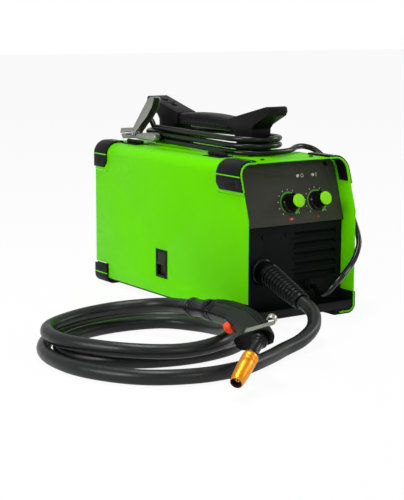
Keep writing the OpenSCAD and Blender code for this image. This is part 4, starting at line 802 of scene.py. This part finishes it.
# %% [markdown]
# ## What repeats
# Screws, ribs and scale marks repeat one small shape many times. Geometry Nodes do that
# well: a few points, one shape, and a rule for each copy's turn and size. Every tree has
# its sizes as named inputs, ends in real geometry with a material, and is baked to a
# plain mesh before it rides on a body.

# %% Node tree helpers
def node_group(name, inputs):
    """An empty geometry tree with named inputs, each with its first number or its type."""
    group = bpy.data.node_groups.new(name, "GeometryNodeTree")
    for label, value in inputs.items():
        kind = {int: "NodeSocketInt", float: "NodeSocketFloat"}.get(type(value), value)
        socket = group.interface.new_socket(label, in_out="INPUT", socket_type=kind)
        if kind != value:
            socket.default_value = value
    group.interface.new_socket("Geometry", in_out="OUTPUT", socket_type="NodeSocketGeometry")
    return group, group.nodes.new("NodeGroupInput").outputs


def finish_group(group, geometry, material):
    real = add_node(group, "GeometryNodeRealizeInstances", {"Geometry": geometry})
    coat = add_node(group, "GeometryNodeSetMaterial", {"Geometry": real, "Material": material})
    add_node(group, "NodeGroupOutput", {"Geometry": coat})


def grow(name, group, values, place=None, mesh=None):
    """A plain mesh grown by a geometry tree, moved to its place."""
    piece = new_piece(name, mesh or bpy.data.meshes.new(name))
    growth = piece.modifiers.new("growth", "NODES")
    growth.node_group = group
    for socket in group.interface.items_tree:
        if socket.in_out == "INPUT" and socket.name in values:
            growth[socket.identifier] = values[socket.name]
    bake(piece)
    if place:
        piece.data.transform(place)
    crisp(piece.data)
    return piece


def even_row(group, size, low, high, gap=(0, 0, 0)):
    """Points for a row of copies, and a value that runs evenly from the first to the last."""
    row = add_node(group, "GeometryNodeMeshLine", {"Count": size["Count"], "Offset": gap}, mode="OFFSET")
    last = add_node(group, "ShaderNodeMath", {0: size["Count"], 1: 1.0}, operation="SUBTRACT")
    return row, add_node(group, "ShaderNodeMapRange", {
        "Value": add_node(group, "GeometryNodeInputIndex"), "From Max": last, "To Min": size[low],
        "To Max": size[high]})


def helix_group(name, material):
    """A round wire wound along Z."""
    group, size = node_group(name, {"Radius": 0.005, "Height": 0.01, "Turns": 5.0, "Wire radius": 0.0007})
    spiral = add_node(group, "GeometryNodeCurveSpiral", {
        "Resolution": 40, "Rotations": size["Turns"], "Start Radius": size["Radius"],
        "End Radius": size["Radius"], "Height": size["Height"]})
    section = add_node(group, "GeometryNodeCurvePrimitiveCircle", {"Resolution": 8, "Radius": size["Wire radius"]})
    wire = add_node(group, "GeometryNodeCurveToMesh", {"Curve": spiral, "Profile Curve": section, "Fill Caps": True})
    finish_group(group, wire, material)
    return group


# %% [markdown]
# ## Springs and wound wire
# A spring and a spool of wire are the same thing to the maker: round wire on a helix. One
# tree makes the clamp's spring, the tension spring and the top layer of the welding wire,
# and only the sizes differ. The layers below the top one can't be seen, so one plain ring
# fills them.

# %% Springs and wound wire
steel_helix = helix_group("steel_wire_helix", bright_steel)
print("inputs", [item.name for item in steel_helix.interface.items_tree if item.in_out == "INPUT"])
clamp_frame = move(clamp_at) @ clamp_turn
along_x = turn(90, "Y")
SPRING_WIRE = 0.7
clamp_coil = grow("clamp_return_spring", steel_helix,
                  {"Radius": 5 * MM, "Height": 6 * MM, "Turns": 3.0, "Wire radius": SPRING_WIRE * MM},
                  clamp_frame @ along_x @ move(mm(0, 0, -3)))
settle(clamp_coil, "clamp_spring")
tension_low = 100 + 5.5 + SPRING_WIRE
tension_coil = grow("tension_arm_spring", steel_helix,
                    {"Radius": 4.6 * MM, "Height": (9.5 - 2 * SPRING_WIRE) * MM, "Turns": 4.0,
                     "Wire radius": SPRING_WIRE * MM},
                    move(mm(-43, -113, tension_low)))
settle(tension_coil, "tension_spring")
SPOOL_Y, SPOOL_Z, WOUND_R = 84, 124, 80.75
wound_x = [corner[0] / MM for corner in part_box("wire_winding")]
wound_width = wound_x[1] - wound_x[0]


def on_spool(x):
    """The spool's axis as Z, from x mm."""
    return move(mm(x, SPOOL_Y, SPOOL_Z)) @ along_x


wound = grow("wound_welding_wire", steel_helix,
             {"Radius": 79.5 * MM, "Height": (wound_width - 1) * MM, "Turns": 44.0, "Wire radius": 0.5 * MM},
             on_spool(wound_x[0] + 0.5))
core = turned("wound_wire_core", [(30.4, 0), (79.4, 0), (79.4, wound_width), (30.4, wound_width)],
              on_spool(wound_x[0]) @ TO_METRES, 96, True)
settle(wound, "wire_winding")
settle(core, "wire_winding", bright_steel, replaces=False)
WIRE_X, WIRE_Z, GUIDE_Y, FRONT_Y = -54, 76, -31, -182.5
reach = (GUIDE_Y - SPOOL_Y, WIRE_Z - SPOOL_Z)
leave = atan2(reach[1], reach[0]) + acos(WOUND_R / hypot(*reach))
leave_at = mm(WIRE_X, SPOOL_Y + WOUND_R * cos(leave), SPOOL_Z + WOUND_R * sin(leave))
straight = [mm(WIRE_X, y, WIRE_Z) for y in (GUIDE_Y, GUIDE_Y - 1, FRONT_Y)]
wire_path = smooth_path([leave_at, straight[0]], 8)[:-1] + straight
settle(cord_piece("feed_welding_wire", wire_path, 0.45 * MM, bright_steel), "welding_wire")
print("wound wire", len(wound.data.polygons), "faces")

# %% [markdown]
# ## Clamp lever
# The upper lever is pressed from one sheet: two deep cheeks joined by a back, with a
# round end. It is built as an open tray, row by row from the jaw to the end, and Solidify
# gives the sheet its thickness. That keeps the steel equally thick all over, which two
# carved blocks would not.

# %% Clamp lever
LEVER_TILT, LEVER_LENGTH, LEVER_HALF = radians(42), 81, 7.5


def on_handle(d, up):
    """A point of the side view, d mm along the handle and up mm above its middle line."""
    c, s = cos(LEVER_TILT), sin(LEVER_TILT)
    return (-6 - d * c + up * s, 4 + d * s + up * c)


# Rows of the side view from the jaw's tip to the handle: the back's point, then the cheek's
rows = [((42, 2), (42, 0.5)), ((38, 9), (38, 0.5)), ((28, 9), (28, 0.5)), ((24, 9), (24, 3)), ((7, 9), (7, 3)),
        ((4, 9), (4, -5)), ((-2, 9), (-5, -5)), (on_handle(5, 7), (-9, 2))]
BACK, CHEEK = 7, -10.5
end_radius, end_up, END_LONG = (BACK - CHEEK) / 2, (BACK + CHEEK) / 2, 17
for d in (12, 18, 24, 30, 36, 42, 48, 56, LEVER_LENGTH - END_LONG):
    rows.append((on_handle(d, BACK), on_handle(d, -5.5 + (CHEEK + 5.5) * ease(d, 12, 48))))
for k in range(1, 13):
    a = pi / 2 * k / 12
    d = LEVER_LENGTH - END_LONG * (1 - sin(a))
    rows.append((on_handle(d, end_up + end_radius * cos(a)), on_handle(d, end_up - end_radius * cos(a))))
tray = bmesh.new()
net = [[tray.verts.new((side * LEVER_HALF, *point)) for side, point in ((-1, low), (-1, top), (1, top), (1, low))]
       for top, low in rows]
for a, b in zip(net, net[1:]):
    for k in range(3):
        tray.faces.new((a[k], a[k + 1], b[k + 1], b[k]))
tray.transform(clamp_frame @ TO_METRES)
bmesh.ops.remove_doubles(tray, verts=tray.verts, dist=0.00002)
tray.normal_update()
top_face = max(tray.faces, key=lambda f: f.calc_area() * abs(f.normal.z))
if top_face.normal.z < 0:
    bmesh.ops.reverse_faces(tray, faces=tray.faces)
lever = to_piece("clamp_upper_handle", tray)
sheet = lever.modifiers.new("sheet", "SOLIDIFY")
sheet.thickness, sheet.offset, sheet.use_even_offset = 1.5 * MM, -1, True
rounded(bake(lever), 0.6, 3, 50)
settle(lever, "clamp_upper_lever", zinc_plate)
print("lever faces", len(lever.data.polygons))

# %% [markdown]
# ## Strain relief
# Where the cable leaves the case, a tapered rubber relief keeps it from bending sharply.
# Its thick ribs are separate rings on a thin core, so it can flex. The ribs are copies of
# one ring that get smaller along the row, which is a job for Geometry Nodes.

# %% Strain relief
RIBS = 11
ribs_group, size = node_group("tapering_ribs", {
    "Count": RIBS, "Pitch": 0.007, "First radius": 0.018, "Last radius": 0.014, "Rib width": 0.005})
step = add_node(ribs_group, "ShaderNodeCombineXYZ", {"Z": size["Pitch"]})
row, radius = even_row(ribs_group, size, "First radius", "Last radius", step)
hoop = add_node(ribs_group, "GeometryNodeCurvePrimitiveCircle", {"Resolution": 72, "Radius": 1.0})
square = add_node(ribs_group, "GeometryNodeCurvePrimitiveQuadrilateral", {"Width": 1.0, "Height": 1.0})
section = add_node(ribs_group, "GeometryNodeFilletCurve", {"Curve": square, "Radius": 0.36, "Count": 4}, mode="POLY")
rib = add_node(ribs_group, "GeometryNodeCurveToMesh", {"Curve": hoop, "Profile Curve": section})
# The hoop is made flat and wide first: its section becomes as thick as the rib is wide
flat = add_node(ribs_group, "ShaderNodeCombineXYZ", {"X": 1.0, "Y": 1.0, "Z": size["Rib width"]})
thin = add_node(ribs_group, "GeometryNodeTransform", {"Geometry": rib, "Scale": flat})
grown = add_node(ribs_group, "ShaderNodeMath", {0: radius, 1: 1.5}, operation="DIVIDE")
scale = add_node(ribs_group, "ShaderNodeCombineXYZ", {"X": grown, "Y": grown, "Z": 1.0})
placed = add_node(ribs_group, "GeometryNodeInstanceOnPoints", {"Points": row, "Instance": thin, "Scale": scale})
finish_group(ribs_group, placed, boot_rubber)


def facing(at, direction):
    """A place in metres whose Z looks along a direction."""
    return move(at) @ direction.to_track_quat("Z", "Y").to_matrix().to_4x4()


relief_axis = facing(relief_root, relief_dir)
relief_ribs = grow("strain_relief_ribs", ribs_group,
                   {"Count": RIBS, "Pitch": 7.27 * MM, "First radius": 17.8 * MM, "Last radius": 14.2 * MM,
                    "Rib width": 5.6 * MM},
                   relief_axis @ move(mm(0, 0, 10.2)))
relief_core = turned("strain_relief_core", [
    (1, -20), (13, -18), (16, -10), (17.6, -3), (18, 2), (17.6, 6), (15.6, 8.5), (15.2, 10), (12.4, 80), (12.4, 84.5),
    (13, 86), (13.4, 87.4), (13.4, 92), (13, 93.4), (12.3, 94), (11, 94), (10.3, 93.4), (10.2, 90), (1, 90)],
    relief_axis @ TO_METRES)
relief_base = turned("strain_relief_flange", [
    (1, -8), (12.9, -8), (12.9, -0.2), (19.6, -0.2), (20.6, 0.6), (20.6, 3.2), (19.8, 4.2), (18.2, 5), (17.9, 14),
    (17.2, 18), (14, 24), (1, 26)],
    move(mm(-54, -192.5, 76)) @ turn(90, "X") @ TO_METRES)
settle(relief_core, "torch_relief", boot_rubber)
settle(relief_base, "torch_relief", boot_rubber, replaces=False)
settle(relief_ribs, "torch_relief", replaces=False)
print("relief ribs", len(relief_ribs.data.polygons), "faces")

# %% [markdown]
# ## Control knobs
# Each knob is a black cone with a green cap pressed into its end. The cone flares at the
# skirt, which a turned outline gives exactly, and a small rib on the skirt shows where
# the knob points.

# %% Control knobs and lamps
PANEL_Y, NOSE_Z, TOP_Z = -192.5, 161, 243
SLOPE = atan(25.5 / (TOP_Z - NOSE_Z))
KNOB_UP, LAMP_UP, MARK_UP = 15.5, 57, -8.6
panel_frame = move(mm(0, PANEL_Y, NOSE_Z)) @ Matrix.Rotation(-SLOPE, 4, "X") @ TO_METRES


def on_panel(x, up, out=0):
    """A place on the leaning panel, up its slope from the nose, whose Z looks out of it."""
    return panel_frame @ move((x, -out, up)) @ turn(90, "X")


# Polished moulds give the knobs small sharp lights, and screen ink lies flat and dull
knob_black = grained("black_glossy_knob_moulding", "#060706", "#0b0c0b", (0.16, 0.24), 1.2, 0.02, shine=0.4)
lens = grained("clear_lamp_lens", "#eef0e2", "#e2e4d6", (0.10, 0.18), 1.0, 0.01, shine=0.5)
ink_white = grained("white_screen_ink", "#e4e6e0", "#d8dad2", (0.45, 0.55), 0.7, 0.01)
ink_green = grained("green_screen_ink", "#6cc43c", "#62ba34", (0.45, 0.55), 0.7, 0.01)
ink_red = grained("red_screen_ink", "#d8482a", "#c83e22", (0.45, 0.55), 0.7, 0.01)
knob_places = {"voltage": 1.0, "speed": 53.5}
for label, x in knob_places.items():
    place = on_panel(x, KNOB_UP)
    knob = turned(label + "_knob_cone", [
        (0.6, -9), (2.7, -9), (3, -8.6), (3, 1), (14.4, 1), (15, 1.6), (15, 3.6), (14.8, 4.4), (14.2, 5.2), (13.4, 6.4),
        (12.6, 8), (12, 10), (11.2, 15), (10.6, 19), (10.3, 21.4), (10.1, 22.6), (9.8, 23), (0.6, 23)], place)
    settle(knob, label + "_knob", knob_black)
    cap = turned(label + "_knob_cap", [
        (0.6, 22.8), (9.9, 22.8), (10.3, 23.2), (10.4, 24), (10.3, 25), (9.9, 25.6), (9.1, 25.9), (5, 26.1),
        (0.6, 26.15)], place)
    settle(cap, label + "_cap", cap_green)
    rib = block((-0.8, 10.2, 4), (0.8, 14.2, 17))
    bmesh.ops.bevel(rib, geom=rib.edges, offset=0.5, segments=3, affect="EDGES", profile=0.5)
    settle(to_piece(label + "_knob_pointer", rib, place, 40), label + "_knob", knob_black, replaces=False)
for k, x in enumerate((24.5, 54.5)):
    lamp = turned(f"indicator_lamp_{k + 1}", [
        (0.3, -10), (3.3, -10), (3.4, -1.6), (2.6, -1.4), (2.6, 0.6), (2.45, 1.5), (2.0, 2.4), (1.3, 3.0), (0.3, 3.3)],
        on_panel(x, LAMP_UP))
    settle(lamp, "indicator_lamps", lens, replaces=k == 0)
print("knobs at", sorted(knob_places.values()))

# %% [markdown]
# ## Printed scales
# Round each knob a green swoosh grows thicker as the setting grows, with short white
# marks outside it. They are printed, so they are a tenth of a millimetre thick. The marks
# are copies on a circle, made by Geometry Nodes, and the swoosh is a thin strip whose
# width follows its angle.

# %% Printed scales
MARKS = 11
marks_group, size = node_group("scale_marks", {
    "Count": MARKS, "Radius": 0.02, "First angle": -0.79, "Last angle": 3.93, "Length": 0.0026, "Width": 0.001})
row, angle = even_row(marks_group, size, "First angle", "Last angle")
mark_turn = add_node(marks_group, "ShaderNodeCombineXYZ", {"Z": angle})
mark_size = add_node(marks_group, "ShaderNodeCombineXYZ", {"X": size["Length"], "Y": size["Width"], "Z": 0.00012})
mark = add_node(marks_group, "GeometryNodeMeshCube", {"Size": mark_size})
outward = add_node(marks_group, "ShaderNodeCombineXYZ", {"X": size["Radius"]})
moved = add_node(marks_group, "GeometryNodeTransform", {"Geometry": mark, "Translation": outward})
marks = add_node(marks_group, "GeometryNodeInstanceOnPoints", {
    "Points": row, "Instance": moved, "Rotation": mark_turn})
finish_group(marks_group, marks, ink_white)


def printed(name, outline, place, material, inner=None):
    """A thin printed shape from an outline in mm, or the ring between two outlines."""
    layers = [(outline, 0.02), (outline, 0.12)] + ([(inner, 0.12), (inner, 0.02)] if inner else [])
    rings = [[(x, y, z) for x, y in loop] for loop, z in layers]
    settle(from_rings(name, rings, place, bool(inner)), "indicator_lamps", material, replaces=False)


def circle_of(x, r):
    return [(x + r * cos(a), r * sin(a)) for a in circle(32)]


def swoosh(steps=60):
    """From a thin start at the lower left over the top to a thick round end."""
    start, sweep = radians(228), radians(-286)
    outer, inner = [], []
    for k in range(steps + 1):
        a, t = start + sweep * k / steps, k / steps
        outer.append(((16.9 + 2.9 * t) * cos(a), (16.9 + 2.9 * t) * sin(a)))
        inner.append((16.2 * cos(a), 16.2 * sin(a)))
    end, middle, half = start + sweep, 18.0, 1.8
    tip = []
    for b in [pi * i / 8 for i in range(1, 8)]:
        out, past = middle + half * cos(b), half * sin(b)
        tip.append((out * cos(end) + past * sin(end), out * sin(end) - past * cos(end)))
    return outer + tip + inner[::-1]


for label, x in knob_places.items():
    place = on_panel(x, KNOB_UP)
    printed(label + "_scale_swoosh", swoosh(), place, ink_green)
    ticks = grow(label + "_scale_marks", marks_group,
                 {"Count": MARKS, "Radius": 21.6 * MM, "First angle": radians(-45), "Last angle": radians(225),
                  "Length": 2.4 * MM, "Width": 1.0 * MM}, place @ Matrix.Scale(1 / MM, 4))
    settle(ticks, "indicator_lamps", replaces=False)
printed("voltage_side_mark", [(-4.6, -1.9), (4.6, -1.9), (4.6, 1.9), (-4.6, 1.9)], on_panel(0, MARK_UP), ink_red)
printed("voltage_side_dot", circle_of(0, 1.1), on_panel(0, MARK_UP, 0.12), ink_white)
printed("speed_side_mark", [(-2.6, 0), (0, -2.6), (2.6, 0), (0, 2.6)], on_panel(52, MARK_UP), ink_red)
printed("first_lamp_mark", circle_of(34, 2.9), on_panel(0, LAMP_UP), ink_white, circle_of(34, 2.1))
printed("second_lamp_mark", [(61.2, 3), (60.4, -3), (61.6, -3), (62.6, 3)], on_panel(0, LAMP_UP), ink_white)
print("scale marks on", len(knob_places), "knobs")

# %% [markdown]
# ## Screws
# Seventeen screws hold the case together: pan heads on the panels and flatter heads in
# the guards. They are blackened steel, so each shows only a small bright point. One screw
# is made with its cross recess, and Geometry Nodes copy it to every place, turned to face
# the way that place faces.

# %% Screws on the case
# Blackened steel keeps a metal's highlight on a nearly black ground
black_steel = metal("blackened_steel", "#1b1c1c", "#262727", (0.22, 0.34))
pattern = turned("screw_pattern", [(0.3, -0.5), (1.6, -0.5), (1.6, 0), (3.2, 0), (3.4, 0.3), (3.4, 0.8), (3.15, 1.4),
                                   (2.5, 1.9), (1.5, 2.15), (0.3, 2.2)], TO_METRES, 28)
for low, high in (((-1.9, -0.4, 1.1), (1.9, 0.4, 3)), ((-0.4, -1.9, 1.1), (0.4, 1.9, 3))):
    carve(pattern, to_piece("cross_recess", block(low, high, TO_METRES)), 30)
screw_group, size = node_group("screws_on_places", {"Places": "NodeSocketGeometry", "Screw": "NodeSocketObject"})
outward = add_node(screw_group, "GeometryNodeInputNamedAttribute", {"Name": "facing"}, data_type="FLOAT_VECTOR")
aimed = add_node(screw_group, "FunctionNodeAlignRotationToVector", {"Vector": outward}, axis="Z")
breadth = add_node(screw_group, "GeometryNodeInputNamedAttribute", {"Name": "breadth"}, data_type="FLOAT_VECTOR")
screw = add_node(screw_group, "GeometryNodeObjectInfo", {"Object": size["Screw"]})
driven = add_node(screw_group, "GeometryNodeInstanceOnPoints", {
    "Points": size["Places"], "Instance": screw.outputs["Geometry"], "Rotation": aimed, "Scale": breadth})
finish_group(screw_group, driven, black_steel)
screws = [((x, PANEL_Y, z), (0, -1, 0), (1, 1, 1)) for x, z in ((-51, 128), (-7, 129), (-94, 128), (-94, 40), (94, 40))]
panel_out = (panel_frame.to_3x3() @ Vector((0, -1, 0))).normalized()
screws += [(tuple(panel_frame @ Vector((x, 0, 72)) / MM), tuple(panel_out), (1, 1, 1)) for x in (83, -83)]
screws += [((x, -172, TOP_Z), (0, 0, 1), (1, 1, 1)) for x in (54, -40)]
for side in (-1, 1):
    screws += [((side * 104.9, y, z), (side, 0, 0), (1.17, 1.17, 0.55))
               for y, z in ((-190.7, 212), (201.5, 212), (-198.7, 26), (198.7, 26))]
places = bpy.data.meshes.new("case_screw_heads")
places.from_pydata([mm(*at) for at, _, _ in screws], [], [])
for label, column in (("facing", 1), ("breadth", 2)):
    values = places.attributes.new(label, "FLOAT_VECTOR", "POINT")
    for item, row in zip(values.data, screws):
        item.vector = row[column]
screw_heads = grow("case_screw_heads", screw_group, {"Screw": pattern}, mesh=places)
bpy.data.objects.remove(pattern)
settle(screw_heads, "case_screws")
print("screws", len(screws))

# %% [markdown]
# ## Rubber grip
# A rubber sleeve covers the middle of the handle. Its sides are pressed with crossing
# diagonal ribs that stop it from slipping in a glove. A bump in the material could
# suggest them, but here they are real relief: the sleeve is a fine net of rings, and each
# point moves out where a rib passes.

# %% Rubber grip with crossed ribs
def rib_height(y, z, pitch=6.5, width=0.26):
    """A ridge of 0 to 1 where one of two crossing families of diagonal lines passes."""
    ridges = []
    for line in (y + z, y - z):
        off = abs((line / pitch) % 1 - 0.5) * 2
        ridges.append(ease(off, 1 - width * 1.6, 1 - width * 0.5))
    return max(ridges)


def grip_rings(half_length=74.5, half_width=16.0, middle_y=20, top=301, low=277, steps=270, around=112):
    rings = []
    for i in range(steps + 1):
        y = -half_length + 2 * half_length * i / steps
        high = top - 4 * (y / half_length) ** 2
        middle, half_z = (high + low) / 2, (high - low) / 2
        close = 1 - 0.10 * ease(abs(y), half_length - 1.5, half_length) ** 2
        ring = []
        for a in circle(around):
            c, s = soft_corner(a, 0.5)
            x, z = half_width * c, half_z * s
            flank = ease(abs(x), 12.5, 15) * ease(half_length - 5 - abs(y), 0, 3)
            out = 1 + 0.085 * flank * rib_height(y, z)
            ring.append((x * close * out, middle_y + y, middle + z * close))
        rings.append(ring)
    return rings


grip = from_rings("ribbed_rubber_grip", grip_rings(), shade=50)
settle(grip, "handle_grip", grip_rubber)
print("grip", len(grip.data.polygons), "faces")

# %% [markdown]
# ## Inverter board
# Behind the panels lies the inverter: a green board with aluminium fins, a transformer
# and three capacitors. It is one solid, so each face of its copy takes one of three
# finishes, by the part of the board that it belongs to.

# %% Inverter board
# Solder mask is a glossy green lacquer, and milled aluminium is pale with fine streaks
solder_mask = grained("green_solder_mask", "#0f4a26", "#0c4020", (0.30, 0.42), 3.0, 0.02, shine=0.4)
aluminium = metal("milled_aluminium", "#c2c4c6", "#aeb0b3", (0.28, 0.42))
board = dress_copy(solder_mask, "inverter_circuit_board inverter_board 0.15")
board.data.materials.append(aluminium)
board.data.materials.append(spool_plastic)
# Above the board are the fins, in one corner, then the transformer and the capacitors.
# Below it are only metal standoffs
BOARD_TOP, BOARD_UNDER, FIN_X, FIN_Y = 31.8, 29.8, 46, 58
for face in board.data.polygons:
    x, y, z = face.center / MM
    if z > BOARD_TOP:
        face.material_index = 1 if x < FIN_X and y > FIN_Y else 2
    elif z < BOARD_UNDER:
        face.material_index = 1
print("board faces", len(board.data.polygons))

# %% [markdown]
# ## Lug sleeve
# A short black sleeve is shrunk over the end of the ground lead where the lead enters its
# brass lug. It stops the strands from breaking at the lug's edge.

# %% Lug sleeve
sleeve_axis = facing(lug_at, (clamp_turn @ lug_dir).normalized()) @ TO_METRES
sleeve = turned("lug_shrink_sleeve", [
    (1, -4), (5.15, -4), (5.4, -3.6), (5.5, -2), (5.5, 6), (5.3, 8), (5.1, 10), (4.8, 10.6), (1, 10.6)],
    sleeve_axis, 40)
settle(sleeve, "ground_lead", boot_rubber, replaces=False)
print("sleeve at", [round(v / MM) for v in lug_at])

# %% [markdown]
# ## The two cords
# The torch hangs on the thick cable, and the ground clamp on the thin lead.

# %% Cords
print("cords: 2")

# %% Finish
for node in frame["nodes"].values():
    if not node.data.materials or node.data.materials[0] is None:
        dress(node, guard_plastic)
